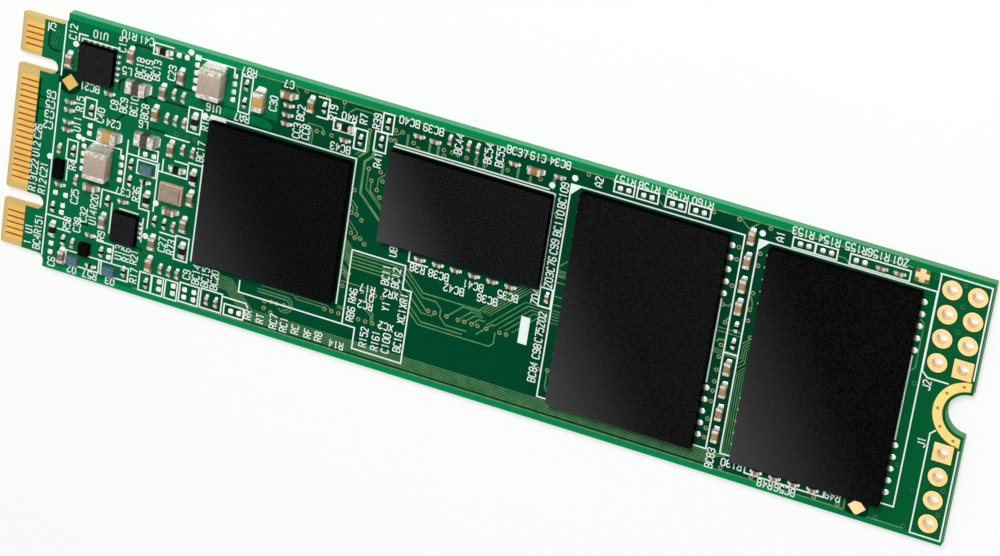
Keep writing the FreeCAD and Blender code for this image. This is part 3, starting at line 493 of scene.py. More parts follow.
def domes(node, name, finish, roundness, swell=None):
    """Low rounded solder over each land of a CAD node, swollen by an amount for its place."""
    form = Form()
    for low, high in separate_boxes(node):
        x, y = middle(low, high)
        more = swell(x) if swell else 0.0
        length, width = high[0] - low[0] + more, high[1] - low[1] + more
        form.add(*dome_block(x, y, length, width, low[2], high[2], roundness))
    item = form.piece(name, finish)
    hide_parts(node)
    smooth(item, 60)


EYELET_BORE = 0.44
EYELET_SIDES = 40
BARREL_WALL = 0.04
PAD_CLEARANCE = 0.08
ALIKE = 0.01


def pad_form(low, high):
    """Middle, reach and outline of an eyelet's pad: square where its two sides are alike."""
    reach = (high[0] - low[0]) / 2
    square = abs(reach - (high[1] - low[1]) / 2) < ALIKE / 2
    return *middle(low, high), reach, square


def smooth_eyelets(node, name):
    """Plated holes with smooth rims, each a barrel with a round or square pad on both faces."""
    form = Form()
    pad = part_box("solder_mask_bottom")[1].z / MM
    for low, high in separate_boxes(node):
        x, y, outer, square = pad_form(low, high)
        form.ring(x, y, EYELET_BORE, outer, TOP - pad, VIA_LEVELS[1], 0, EYELET_SIDES, square)
        form.ring(x, y, EYELET_BORE, outer, 0, pad, 0, EYELET_SIDES, square)
        # The barrel takes the paler finish, painted light inside the hole
        form.ring(x, y, EYELET_BORE, EYELET_BORE + BARREL_WALL, pad, TOP - pad, 1, EYELET_SIDES)
    item = form.piece(name, PALE_GOLD, BORE_GOLD_PAINTED_LIGHT)
    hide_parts(node)
    smooth(item, 30)


DOME_SIDES = 16
DOME_RINGS = 4


def dome_block(x, y, length, width, low, high, roundness):
    """A solder cap over a land, with an outline from almost square at 0 to round at 1."""
    corners = []
    power = 2 + 4 * (1 - roundness)
    for ring in range(DOME_RINGS):
        angle = math.pi / 2 * ring / DOME_RINGS
        scale = math.cos(angle)
        z = low + (high - low) * math.sin(angle)
        for step in range(DOME_SIDES):
            turn = 2 * math.pi * step / DOME_SIDES
            a, b = math.cos(turn), math.sin(turn)
            size = (abs(a) ** power + abs(b) ** power) ** (-1 / power)
            corners.append((x + a * size * scale * length / 2, y + b * size * scale * width / 2, z))
    corners.append((x, y, high))
    faces = [list(range(DOME_SIDES - 1, -1, -1))]
    for start in range(0, (DOME_RINGS - 1) * DOME_SIDES, DOME_SIDES):
        above = start + DOME_SIDES
        for step in range(DOME_SIDES):
            following = (step + 1) % DOME_SIDES
            faces.append([start + step, start + following, above + following, above + step])
    for step in range(DOME_SIDES):
        faces.append([above + step, above + (step + 1) % DOME_SIDES, len(corners) - 1])
    return corners, faces


BALL_SWELL = 0.12


def ball_swell(x):
    """Balls on one side of a flash package bulge from under it, and those on the other are small."""
    middles = [(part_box(node)[0].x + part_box(node)[1].x) / 2 / MM - EDGE_X
               for node in ("flash_package_1", "flash_package_2")]
    nearest = min(middles, key=lambda place: abs(x - place))
    return BALL_SWELL if x > nearest else -BALL_SWELL


dress("circuit_board", LAMINATE)
dress("solder_mask_top", GREEN)
dress("solder_mask_bottom", GREEN)
dress("contacts_top", GOLD)
dress("contacts_bottom", GOLD)
dress("screw_ring", RING_GOLD)
dress("fiducial_marks", MARK_GOLD)
for node in ("controller_balls", "memory_balls", "flash_balls_1", "flash_balls_2",
             "power_chip_leads", "switch_chip_leads"):
    dress(node, SOLDER)

smooth_eyelets("long_header_eyelets", "long_header_rings")
smooth_eyelets("short_header_eyelets", "short_header_rings")
# The controller, memory and flash packages take moulds with a painted sheen
softened("controller_package", "controller_mould", CONTROLLER_MOULD_PAINTED_SHEEN)
softened("memory_package", "memory_mould", GREY_MOULD_PAINTED_SHEEN)
softened("flash_package_1", "flash_mould_1", FLASH_MOULD_1_PAINTED_SHEEN)
softened("flash_package_2", "flash_mould_2", FLASH_MOULD_2_PAINTED_SHEEN)
softened("power_chip", "power_chip_mould", CHIP_MOULD)
softened("switch_chip", "switch_chip_mould", CHIP_MOULD)
softened("driver_chip", "driver_mould", BLACK_MOULD, ease=0.04)
softened("supervisor_chip", "supervisor_mould", BLACK_MOULD, ease=0.04)
softened("diodes", "diode_moulds", BLUE_MOULD, 0.05, BLUE_MOULD)
softened("crystal_base", "crystal_base_eased", PEACH_CERAMIC, 0.04, PEACH_CERAMIC)
softened("crystal_lid", "crystal_lid_eased", LID_METAL, 0.05, LID_METAL)

CONTACT_PITCH = 0.5

# Painted shade between contacts that are neighbours in one run: dark brown strips on the bare laminate
# there
finger_gap_shade = Form()
fingers = sorted(separate_boxes("contacts_top"), key=lambda box: box[0][1])
for (low, high), (next_low, _) in zip(fingers, fingers[1:]):
    if next_low[1] - high[1] < CONTACT_PITCH:
        gap = rectangle(max(low[0], next_low[0]) - EDGE_X, high[1], high[0] - EDGE_X, next_low[1])
        finger_gap_shade.prism(gap, low[2] - SUNK, low[2] + SUNK)
finger_gap_shade.piece("finger_gap_shade", BARE_BROWN_AND_SHADE)

chips("chokes", CHOKE_CERAMIC, 0.5, 0.28, 0.5, 0.16)
chips("ferrite_beads", DARK_CERAMIC, 0.55, 0.3, 0.6)
chips("large_capacitors", YELLOW_CERAMIC, 0.42, 0.3, 0.6)
chips("tan_capacitors", BROWN_CERAMIC, 0.27, 0.26)
chips("orange_capacitors", ORANGE_CERAMIC, 0.27, 0.26)
chips("flash_capacitors", TAN_CERAMIC, 0.27, 0.2)
chips("small_capacitors", BROWN_CERAMIC, 0.19, 0.2)
chips("medium_resistors", BLACK_FILM, 0.27, 0.26)
chips("small_resistors", BLACK_FILM, 0.19, 0.2)
domes("spare_ball_lands", "spare_solder_balls", SOLDER, 1.0, ball_swell)
domes("bare_pads", "tinned_pads", SOLDER, 0.4)

# Solder in front of the leads that come out of a chip's two ends
LEAD_REACH = 0.5
LEAD_SOLDER = 0.3
LEAD_DOME = (0.34, 0.26)
LEAD_DOME_TOP = TOP + 0.2
for chip in ("power_chip", "switch_chip"):
    chip_low, chip_high = [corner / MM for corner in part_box(chip)]
    for low, high in separate_boxes(chip + "_leads"):
        x, y = (low[0] + high[0]) / 2, (low[1] + high[1]) / 2
        at_end = min(x - chip_low.x, chip_high.x - x)
        if at_end < LEAD_REACH and at_end < min(y - chip_low.y, chip_high.y - y):
            x += math.copysign(LEAD_SOLDER, x - (chip_low.x + chip_high.x) / 2)
            SOLDER_FORM.add(*dome_block(x - EDGE_X, y, *LEAD_DOME, FOOT, LEAD_DOME_TOP, 0.6))
solder = SOLDER_FORM.piece("solder_fillets", SOLDER)
smooth(solder, 40)


# Legend lines

PRINT_WIDTH = 0.115

LINES = [
    # Tongue, power chip and connector side
    [(3.85, 10.1), (3.85, 5.7)], [(3.85, 5.0), (3.85, -10.0)], [(5.05, 9.0), (5.05, 9.55), (5.75, 9.55)],
    [(5.35, 9.0), (5.35, 9.25), (8.6, 9.25)], [(15.4, 10.45), (18.4, 10.45), (18.4, 10.05)],
    [(6.4, 0.95), (9.7, 0.95), (9.7, 0.5)], [(13.1, 9.7), (11.45, 9.7), (11.45, 10.62), (13.1, 10.62)],
    [(13.25, 3.25), (15.3, 3.25)], [(13.0, 0.7), (13.0, -3.4)],
    [(14.35, 1.35), (15.5, 1.35), (15.5, 0.12), (13.0, 0.12)], [(13.35, 1.2), (13.35, 0.2)],
    [(15.5, 1.55), (16.65, 1.55)], [(16.7, 1.7), (16.7, -6.6)], [(10.2, 1.9), (10.2, -2.2)],
    [(10.2, 0.8), (11.1, 0.8)], [(5.25, -1.3), (5.25, -3.0)], [(3.85, -6.4), (6.0, -6.4)],
    [(10.0, -2.85), (8.45, -2.85), (8.45, -4.4)], [(9.45, -3.8), (9.45, -6.4)],
    [(10.15, -4.05), (11.75, -4.05)], [(12.25, -4.3), (12.25, -6.3)],
    [(11.75, -1.5), (11.75, -3.52), (12.65, -3.52), (12.65, -5.0)], [(13.8, -5.0), (15.2, -5.0)],
    [(5.9, -8.95), (10.5, -8.95)], [(9.98, -7.35), (9.98, -8.9)], [(5.0, -7.35), (6.1, -7.35)],
    [(8.5, -7.35), (9.95, -7.35)], [(19.8, -8.8), (21.8, -8.8), (22.0, -9.1)],
    [(25.6, 8.5), (26.5, 8.5), (26.5, 10.15), (25.6, 10.15)],
    # Controller outline and the field beside it
    [(18.2, 6.0), (29.3, 6.0), (29.3, -6.4)], [(21.05, -7.0), (21.05, -8.0), (31.1, -8.0)],
    [(30.0, -1.55), (34.55, -1.55), (34.55, -3.55), (35.3, -3.55), (35.3, -9.8), (31.1, -9.8),
     (31.1, -8.0)],
    [(30.0, -1.62), (30.0, -7.93)],
    # Memory outline
    [(32.2, 7.92), (45.4, 7.92)], [(32.3, 8.15), (45.0, 8.15)], [(45.55, 7.9), (45.55, 0.1)],
    [(34.7, -0.3), (34.7, -1.1), (36.3, -1.1)], [(60.8, -0.7), (61.8, -0.7)],
    [(64.0, -9.5), (64.0, -10.0), (70.4, -10.0), (70.4, -9.5)],
    # Header outlines
    [(75.9, 10.6), (75.9, 2.6), (76.4, 2.15), (78.0, 2.15)], [(75.83, 10.6), (79.85, 10.6), (79.85, 3.0)],
    [(77.8, -1.85), (77.45, -2.2), (77.45, -10.65), (79.85, -10.65), (79.85, -3.0)],
]

FRAMES = [
    (15.0, 4.12, 16.12, 6.2), (6.15, 2.75, 7.15, 4.45), (11.2, 0.8, 12.85, 1.7), (11.2, -0.6, 12.85, 0.55),
    (5.05, -1.2, 5.95, 0.5), (15.2, -6.9, 16.35, -4.85), (5.95, -10.1, 8.9, -8.95),
    (9.1, -10.1, 11.5, -8.95), (12.5, -10.45, 13.55, -8.85), (13.6, -10.45, 14.6, -8.85),
    (14.8, -10.45, 15.85, -8.85), (16.05, -10.35, 17.7, -8.7), (17.9, -10.3, 19.75, -8.65),
    (20.0, -10.3, 21.7, -9.35), (19.05, 7.0, 20.0, 10.05), (27.05, 7.85, 28.75, 8.8),
    (28.9, 6.8, 29.9, 8.5), (31.0, 8.8, 31.9, 10.4), (30.55, 7.1, 31.55, 8.75),
    (45.6, -1.5, 46.6, 0.1), (50.05, 9.5, 51.65, 10.35), (51.9, 9.5, 53.6, 10.35),
    (54.2, 9.5, 55.85, 10.35), (56.1, 9.5, 57.8, 10.35), (64.4, 9.25, 66.15, 10.1),
    (66.2, 9.25, 67.9, 10.1), (68.9, 9.25, 73.6, 10.1),
]

# The outlines and corners round the two flash packages, from the first to the second
FLASH_SHIFTS = (0, 15.15)
OUTLINE_LEFT = 46.7
OUTLINE_RIGHT = 60.7


def print_line(form, points):
    """A printed line with square ends."""
    route = [Vector(point) for point in points]
    for end, next_to_it in ((0, 1), (-1, -2)):
        route[end] += (route[end] - route[next_to_it]).normalized() * PRINT_WIDTH / 2
    form.ribbon(route, PRINT_WIDTH, *PRINT_LEVELS)


legend = Form()
for points in LINES:
    print_line(legend, points)
for left, low, right, high in FRAMES:
    start = ((left + right) / 2, low)
    route = [start, (right, low), (right, high), (left, high), (left, low), start]
    legend.ribbon(route, PRINT_WIDTH, *PRINT_LEVELS)
for shift in FLASH_SHIFTS:
    left, right = OUTLINE_LEFT + shift, OUTLINE_RIGHT + shift
    print_line(legend, [(left + 0.9, -9.0), (left, -9.0), (left, 9.1), (right, 9.1), (right, -9.0),
                        (right - 1.0, -9.0)])
    print_line(legend, [(right - 0.9, 3.5), (right - 0.9, -3.5)])
legend.piece("legend_lines", PRINT_WHITE)

DOTS = [(4.83, 8.62), (14.6, 10.7), (16.4, 5.85), (5.95, 0.98), (3.65, -1.4), (12.6, -5.7),
        (13.15, -2.65), (45.2, 8.55), (46.9, 9.65), (62.0, 9.65)]
DOT_RADIUS = 0.25
BLOCKS = [(15.0, 10.2, 15.5, 10.65), (6.2, 0.7, 6.5, 1.05), (16.85, 5.7, 18.2, 6.1),
          (44.45, -5.05, 45.2, -2.75)]

marks = Form()
for x, y in DOTS:
    marks.prism(circle(x, y, DOT_RADIUS), *MARK_LEVELS)
for block in BLOCKS:
    marks.prism(rectangle(*block), *MARK_LEVELS)
for shift in FLASH_SHIFTS:
    left = OUTLINE_LEFT + shift
    marks.prism([(left, 9.15), (left, 8.2), (left + 0.9, 9.15)], *MARK_LEVELS)
marks.piece("legend_marks", PRINT_WHITE)


# Legend letters: each is one or more strokes through points of a grid four wide and six high

GRID_WIDTH = 4
GRID_HEIGHT = 6
LETTER_HEIGHT = 0.6
LETTER_WIDTH = 0.31
LETTER_GAP = 0.13
STROKE_WIDTH = 0.085

STROKES = {
    "A": ("0004264440", "0242"), "B": ("00063645443303", "334241301000"), "C": ("4536160501103041",),
    "F": ("000646", "0333"), "J": ("4641301001",), "L": ("060040",),
    "Q": ("103041453616050110", "2240"), "R": ("00063645443303", "2340"), "T": ("0646", "2620"),
    "U": ("060110304146",), "X": ("0046", "0640"), "Y": ("0623", "4623", "2320"), "Z": ("06460040",),
    "0": ("103041453616050110",), "1": ("152620",), "2": ("05163645440040",),
    "3": ("0516364544334241301001", "1333"), "4": ("30360242",), "5": ("460604344341301001",),
    "6": ("453616050110304142331302",), "7": ("064620",), "8": ("133344453616050413", "1302011030414233"),
    "9": ("011030414536160504133344",),
}

# Part numbers that read up the board's width
UPWARD = [
    ("75", 2.65, 9.4), ("C12", 4.5, 9.55), ("C15", 8.8, 9.7), ("BC18", 10.45, 8.2), ("BC19", 11.2, 8.2),
    ("BC13", 11.9, 8.4), ("C8", 8.65, 4.5), ("BC9", 9.45, 4.7), ("BC10", 10.35, 4.9), ("BC8", 11.3, 4.7),
    ("R15", 5.75, 3.75), ("C40", 7.6, 3.3), ("U11", 5.7, 2.0), ("R13", 2.4, -4.15), ("C22", 2.4, -2.7),
    ("U12", 2.4, -1.15), ("C26", 2.4, 0.4), ("R12", 3.25, -4.15), ("C21", 3.25, -2.7), ("U1", 2.5, -8.1),
    ("1", 2.5, -9.3), ("BC4", 3.3, -9.05), ("R151", 3.3, -7.5), ("R4", 5.7, -1.6), ("C25", 6.15, -4.2),
    ("C32", 7.1, -5.5), ("U14", 7.9, -5.5), ("R20", 7.9, -4.1), ("R58", 5.75, -6.75),
    ("C38", 6.65, -6.55), ("R9", 8.8, -6.85), ("R36", 11.4, -2.4), ("U13", 10.45, -7.8),
    ("R16", 11.15, -7.8), ("R21", 11.85, -7.8), ("R17", 12.0, -9.4), ("C6", 4.75, -10.35),
    ("C23", 13.2, 8.55), ("C30", 21.9, 8.5), ("R18", 16.5, 5.25), ("BC17", 16.4, 2.75),
    ("C27", 14.1, -6.0), ("R73", 14.85, -6.0), ("C9", 16.5, -7.9), ("BC14", 17.3, -7.65),
    ("BC15", 18.1, -7.65), ("BC20", 18.9, -7.65), ("RR", 22.1, -9.7), ("RT", 23.15, -9.7),
    ("RC7", 24.3, -9.6), ("RC1", 25.2, -9.6), ("RC", 26.2, -9.7), ("RF", 27.3, -9.7), ("R8", 28.2, -9.7),
    ("BC2", 24.25, 8.4), ("CC3", 24.1, 6.85), ("CC8", 24.85, 6.95), ("R19", 26.9, 9.2),
    ("R7", 29.45, 9.4), ("R39", 30.55, 9.55), ("R41", 31.05, 6.4), ("U8", 33.35, -0.7),
    ("BC11", 33.05, -2.8), ("BC12", 33.9, -2.8), ("RB6", 30.6, -6.95), ("RA6", 30.6, -5.35),
    ("Y1", 33.4, -5.4), ("XC1", 34.8, -5.85), ("XR1", 34.8, -4.5), ("BC16", 34.8, -8.1),
    ("R152", 31.95, -8.55), ("R161", 32.95, -8.55), ("C100", 33.85, -8.5), ("BC44", 37.35, 9.65),
    ("BC54", 39.8, 9.6), ("BC55", 40.75, 9.6), ("BC109", 46.2, 8.0), ("BC110", 46.2, 5.65),
    ("C99", 46.15, 3.67), ("C76", 46.15, 2.19), ("Z03", 46.15, 0.85), ("Z04", 45.3, -0.85),
    ("BC84", 46.05, -7.1), ("C98", 46.1, -5.3), ("C75", 46.1, -3.88), ("Z02", 46.1, -2.55),
    ("A2", 48.8, 9.9), ("A1", 63.4, 9.8), ("BC83", 61.15, -9.65), ("J2", 76.45, 1.55),
    ("J1", 76.95, -3.1),
]

# Part numbers that stand on their heads
DOWNWARD = [
    ("U10", 6.85, 9.9), ("R10", 9.25, 10.6), ("C41", 10.75, 10.6), ("L5", 9.4, 7.6), ("BC21", 6.4, 5.35),
    ("C24", 8.75, 2.9), ("L6", 11.3, 3.6), ("C37", 10.25, -2.55), ("Q2", 6.6, -10.5),
    ("R57", 8.2, -10.5), ("Q3", 10.0, -10.5), ("C6", 3.2, 3.8), ("C5", 3.2, 2.95), ("C3", 3.2, 2.1),
    ("C2", 3.2, 1.2), ("U16", 17.0, 6.65), ("RB7", 19.6, 10.5), ("RA7", 19.45, 6.55),
    ("C7", 23.0, 10.45), ("R40", 28.25, 9.2), ("BC43", 27.85, 6.5), ("BC40", 33.15, 10.25),
    ("BC39", 35.15, 10.2), ("C19", 43.75, 10.45), ("BC34", 45.55, 10.5), ("R38", 35.5, -1.5),
    ("BC38", 37.3, -1.5), ("BC41", 40.2, -1.5), ("BC35", 43.1, -1.5), ("BC42", 38.7, -2.3),
    ("BC36", 41.5, -2.3), ("R157", 50.8, 10.62), ("R158", 52.75, 10.62), ("R159", 55.05, 10.62),
    ("R160", 57.05, 10.62), ("R153", 65.05, 10.62), ("R154", 67.1, 10.62), ("R155", 69.2, 10.62),
    ("R156", 70.95, 10.62), ("ZQ1", 72.65, 10.62), ("R14", 29.75, -9.9), ("R130", 62.9, -9.65),
    ("BC56", 67.35, -10.4), ("R48", 65.75, -10.4), ("R49", 71.1, -9.7), ("R17", 31.7, -4.4),
    ("Q1", 31.92, -5.12), ("RC2", 31.7, -5.85), ("XR2", 33.65, -4.3), ("XC2", 33.65, -7.1),
]


def print_text(form, text, x, y, turn):
    """Monoline letters about a middle point, turned anticlockwise by an angle."""
    pitch = LETTER_WIDTH + LETTER_GAP
    start = -(len(text) * pitch - LETTER_GAP) / 2
    cosine, sine = math.cos(math.radians(turn)), math.sin(math.radians(turn))
    for index, letter in enumerate(text):
        for stroke in STROKES[letter]:
            digits = [int(digit) for digit in stroke]
            points = []
            for a, b in zip(digits[::2], digits[1::2]):
                across = start + index * pitch + a / GRID_WIDTH * LETTER_WIDTH
                up = (b / GRID_HEIGHT - 0.5) * LETTER_HEIGHT
                points.append((x + across * cosine - up * sine, y + across * sine + up * cosine))
            form.ribbon(points, STROKE_WIDTH, *LETTER_LEVELS)


letters = Form()
for text, x, y in UPWARD:
    print_text(letters, text, x, y, 90)
for text, x, y in DOWNWARD:
    print_text(letters, text, x, y, 180)
print_text(letters, "BC37", 42.05, 10.4, 0)
letters.piece("legend_letters", PRINT_WHITE)


# Copper under the mask: lines, plated holes, and the tones of the copper areas

# Widths of the lines, and the routes of each width in the order in which they lie on the board
BUS = 0.065
SLANT = 0.07
FINE = 0.08
STUB = 0.09
LINE = 0.1
EDGE = 0.13
LINK = 0.14
WIDE = 0.2

TRACES = [
    (EDGE, [(13.2, 10.45), (73.75, 10.45)], [(12.0, -10.45), (72.1, -10.45), (72.1, -9.6)]),
    (WIDE, [(30.9, 6.9), (30.0, 6.0), (30.0, 3.3), (31.9, 1.45)]),
    (LINE, [(30.4, 5.5), (30.4, 3.85), (31.9, 2.35)], [(30.75, 4.6), (30.75, 3.75), (31.9, 2.6)],
     [(31.3, 3.95), (31.3, 4.9), (31.9, 5.5)]),
    (WIDE, [(30.75, 7.3), (30.55, 6.6)], [(30.1, 8.6), (30.1, 6.9), (29.4, 6.2)]),
    (LINE, [(29.9, 8.4), (29.9, 7.1), (29.15, 6.35)], [(29.35, 2.6), (29.9, 2.05), (29.9, 1.5)],
     [(29.35, 2.2), (29.6, 1.95), (29.6, 1.6)], [(29.35, 0.85), (30.2, 0.0), (30.2, -0.4)],
     [(29.35, 0.45), (29.8, 0.0)], [(30.0, -1.8), (34.7, -1.8), (36.25, -3.35), (41.6, -3.35)],
     [(30.0, -2.1), (34.6, -2.1), (36.25, -3.75), (37.4, -3.75), (37.9, -4.25), (37.9, -4.9),
       (38.45, -5.45), (40.2, -5.45)], [(30.0, -2.4), (34.4, -2.4), (36.7, -4.7), (36.9, -4.7)],
     [(30.0, -2.7), (34.0, -2.7), (36.35, -5.05), (37.2, -5.05), (37.45, -4.75)],
     [(30.0, -3.0), (33.6, -3.0), (36.4, -5.8), (39.9, -5.8)],
     [(33.4, -3.3), (36.2, -6.1), (42.2, -6.1), (42.55, -5.75), (42.55, -4.8)],
     [(38.45, -4.7), (39.65, -3.5), (41.2, -3.5)], [(39.4, -4.7), (40.4, -3.7), (41.3, -3.7)],
     [(39.95, -4.7), (40.75, -3.9), (41.4, -3.9)], [(40.55, -4.7), (41.1, -4.15), (41.6, -4.15)],
     [(41.0, -5.45), (42.3, -4.15)], [(31.6, -6.1), (32.3, -6.6), (32.3, -7.1)],
     [(31.9, -6.0), (32.45, -6.4), (32.45, -7.1)],
     [(22.9, -6.85), (25.7, -6.85), (25.95, -7.1), (28.3, -7.1)],
     [(25.9, -6.85), (28.6, -6.85), (28.9, -7.1)],
     [(22.6, -7.2), (25.3, -7.2), (25.65, -7.55), (25.65, -8.2), (25.3, -8.55), (24.8, -8.55),
       (24.55, -8.3)],
     [(22.6, -7.45), (25.2, -7.45), (25.45, -7.7), (25.45, -8.1), (25.2, -8.35), (24.9, -8.35)],
     [(29.4, -6.6), (30.0, -6.6)], [(29.4, -6.75), (30.0, -6.75)], [(29.4, -4.4), (32.4, -4.4)],
     [(26.3, 7.3), (26.3, 7.55), (26.1, 7.75), (24.9, 7.75)], [(25.25, 7.2), (25.25, 6.1)],
     [(25.45, 7.2), (25.45, 6.1)], [(27.7, 10.3), (27.7, 9.6)],
     [(28.2, 9.6), (28.7, 10.05), (31.0, 10.05)], [(23.6, 10.3), (23.9, 9.9), (23.9, 9.4)],
     [(32.7, 9.25), (32.3, 8.9), (31.9, 8.9)], [(46.8, 2.2), (47.4, 2.8)],
     [(47.2, -6.7), (47.2, -8.1), (47.45, -8.4)]),
    (LINK, [(59.9, 3.1), (60.4, 3.1), (60.7, 3.4)], [(60.3, 1.7), (60.7, 2.3)],
     [(60.0, 0.0), (60.2, 0.25), (60.7, 0.25)], [(62.0, 4.4), (62.2, 3.9), (62.2, 3.4)]),
    (LINE, [(61.6, 10.3), (60.9, 9.7), (60.2, 10.3)], [(67.9, 9.6), (68.5, 9.6), (68.9, 9.3)],
     [(53.7, 9.8), (54.2, 9.4)], [(75.0, 2.3), (75.35, 2.65), (75.35, 6.3), (75.0, 6.6)],
     [(74.0, -10.5), (76.9, -10.5)]),
]

# Rows of short bars between the memory's top edge and its capacitors
for x in (33.2, 35.05, 35.75, 38.9, 39.6, 41.1, 42.35, 43.4, 45.3):
    TRACES.append((WIDE, [(x, 8.2), (x, 9.2)]))
# Short lines beside the controller, the packages' stubs and the crossings between the flash chips
for step in (*range(9), *range(11, 15)):
    TRACES.append((FINE, [(29.35, -0.8 - 0.2 * step), (29.95, -1.4 - 0.2 * step)]))
for y in (1.85, 1.7, 1.5, 1.35, 0.85, -0.35, -1.05):
    TRACES.append((STUB, [(46.8, y), (47.5, y)]))
for y in (1.2, 0.9, -0.6, -0.75, -0.9):
    TRACES.append((FINE, [(59.8, y), (61.8, y)]))
# The bus along the near side: it leaves the controller, turns down, and turns up again past the
# first flash package to the lands of the second, which only the inner four lines reach
LANDS_X = 62.6
BUS_PITCH = 0.155
for step in range(7):
    y = -9.2 - BUS_PITCH * step
    first_y = -7.1 - 0.17 * step
    turn_x = 20.3 - 0.05 * step
    route = [(18.9, first_y), (turn_x, first_y), (turn_x + first_y - y, y), (60.5 + BUS_PITCH * step, y)]
    if step < 4:
        rise_x = 62.02 + 0.18 * step
        route += [(rise_x - 0.2, -9.1), (rise_x, -8.8), (rise_x, -2.0 - 0.1 * step),
                  (LANDS_X, -1.42 - 0.28 * step)]
    TRACES.append((BUS, route))
# The bus that runs aslant from the memory to the first flash package
for step in range(5):
    x = 44.1 + 0.27 * step
    TRACES.append((SLANT, [(x, -0.25), (x - 3.1 - 0.05 * step, -3.35 - 0.05 * step)]))
for step, y in enumerate((-1.55, -1.8, -2.05, -2.3, -2.6)):
    turn_x = 44.6 + 0.27 * step
    TRACES.append((SLANT, [(47.5, y), (turn_x, y), (turn_x - 4.4 - y, -4.4)]))
# Lines that cross between the flash packages' land rows
TRACES.append((FINE, [(LANDS_X, 1.0), (62.0, 0.4)]))
for step in range(3):
    bend_x = 62.12 + 0.17 * step
    high_y, low_y = 0.25 - 0.1 * step, -0.75 - 0.2 * step
    TRACES.append((SLANT, [(LANDS_X, high_y + LANDS_X - bend_x), (bend_x, high_y), (bend_x, low_y),
                           (62.0, low_y - bend_x + 62.0)]))

VIAS = [
    (30.4, 5.5), (30.75, 4.6), (31.4, 5.5), (31.65, 4.8), (31.3, 3.95), (31.6, 3.4), (29.5, 3.4),
    (29.5, 1.5), (29.95, 1.45), (30.4, 1.1), (29.7, -0.2), (30.05, -0.5), (30.5, -0.45), (30.9, -0.8),
    (29.5, -3.6), (30.0, -3.6), (29.6, -4.8), (31.3, -4.8), (32.4, -4.8), (33.0, -4.8), (24.5, 10.3),
    (26.3, 10.25), (27.7, 10.3), (32.15, 9.25), (32.7, 9.25), (33.7, 8.65), (34.1, 8.3), (32.2, 8.4),
    (31.85, 8.35), (36.2, 8.8), (36.9, 8.8), (37.4, 8.75), (38.1, 8.7), (38.9, 8.7), (36.3, 8.35),
    (39.7, 8.6), (41.5, 8.7), (44.2, 8.75), (30.05, 8.6), (25.0, -7.95), (24.35, -8.0), (23.35, -8.1),
    (23.9, -8.0), (23.35, -8.7), (23.95, -8.9), (59.95, 3.1), (14.2, 3.6), (15.1, 3.6), (15.8, 3.6),
    (14.0, 5.8), (14.8, 5.8), (75.5, 1.4), (75.55, -5.5), (77.0, -7.2), (77.95, 8.5), (77.95, 6.45),
    (74.65, -10.3), (76.9, -10.3), (62.1, -10.2), (64.6, -10.2), (69.7, -10.2), (71.6, -10.2),
    (10.65, 9.7), (12.6, -7.25), (79.3, -6.5), (79.3, -8.55), (75.6, 10.2), (77.8, 10.2), (47.9, 10.25),
    (58.0, 10.2), (60.05, 10.2), (62.55, 10.2), (47.2, -6.6), (46.45, -6.7), (62.55, 1.1), (45.9, 6.35),
    (3.0, 8.3), (3.2, 9.1), (5.7, 2.9),
]
VIAS += [(x, -7.2) for x in (28.4, 29.0, 29.6, 31.3, 31.9, 32.5, 33.1)]
VIAS += [(x, 7.3) for x in (25.2, 25.75, 26.3, 27.0)]
VIAS += [(x, -4.7) for x in (36.9, 37.45, 38.45, 39.4, 39.95, 40.55, 41.05, 41.8, 42.9, 43.45)]
VIAS += [(60.4, y) for y in (8, 7, 4.8, 1.7, -0.2, -1.2, -2.3, -3.3, -4.1, -5.0, -6.5, -7.3, -8.1)]
VIAS += [(62.1, y) for y in (8, 7, 4.7, 3.3, 2.4)]

traces = Form()
for width, *routes in TRACES:
    for route in routes:
        traces.ribbon(route, width, *TRACE_LEVELS)
traces.piece("copper_traces", TRACE_GREEN)

VIA_BORE = 0.09
VIA_REACH = 0.18
VIA_SIDES = 14
BRIGHT_FROM = 16
BRIGHT_TO = 74

# Plated holes: bright along the middle of the board, covered by the mask near its two ends
vias = Form()
for x, y in VIAS:
    finish = 0 if BRIGHT_FROM <= x <= BRIGHT_TO else 2
    vias.ring(x, y, VIA_BORE, VIA_REACH, *VIA_LEVELS, finish, VIA_SIDES)
    vias.prism(circle(x, y, VIA_BORE, VIA_SIDES), *VIA_LEVELS, 1)
vias.piece("copper_vias", VIA_GOLD, DARK_GREEN, COVERED_GREEN)

# Where the guides stand, and one quarter of the area that the copper leaves free round the far two
NEAR_DIAMOND = (4.68, 5.28)
FAR_DIAMOND = (73.1, -9.95)
CROSS = (74.5, 10.0)
DIAMOND_REACH = 0.72
FREE_REACH = 1.02
DIAMOND_QUARTER = [(0.72, 0), (0.98, 0), (0.98, 0.3), (0.7, 0.66), (0, 0.72)]
CROSS_QUARTER = [(0.225, 0.225), (0.56, 0.225), (0.56, 0.54), (0.225, 0.54)]

# Areas of paler mask: the borders of both long edges, and the zone of the power chip
BORDER_START = 4.1
BORDER_WIDTH = 0.45
SIDE_INSET = 0.01
END_INSET = 0.05
POWER_AREAS = [
    rectangle(14.4, 7.15, 22.4, 10.35),
    [(14.4, 6.25), (22.05, 6.25), (22.05, 6.55), (21.5, 7.0), (14.4, 7.0)],
]

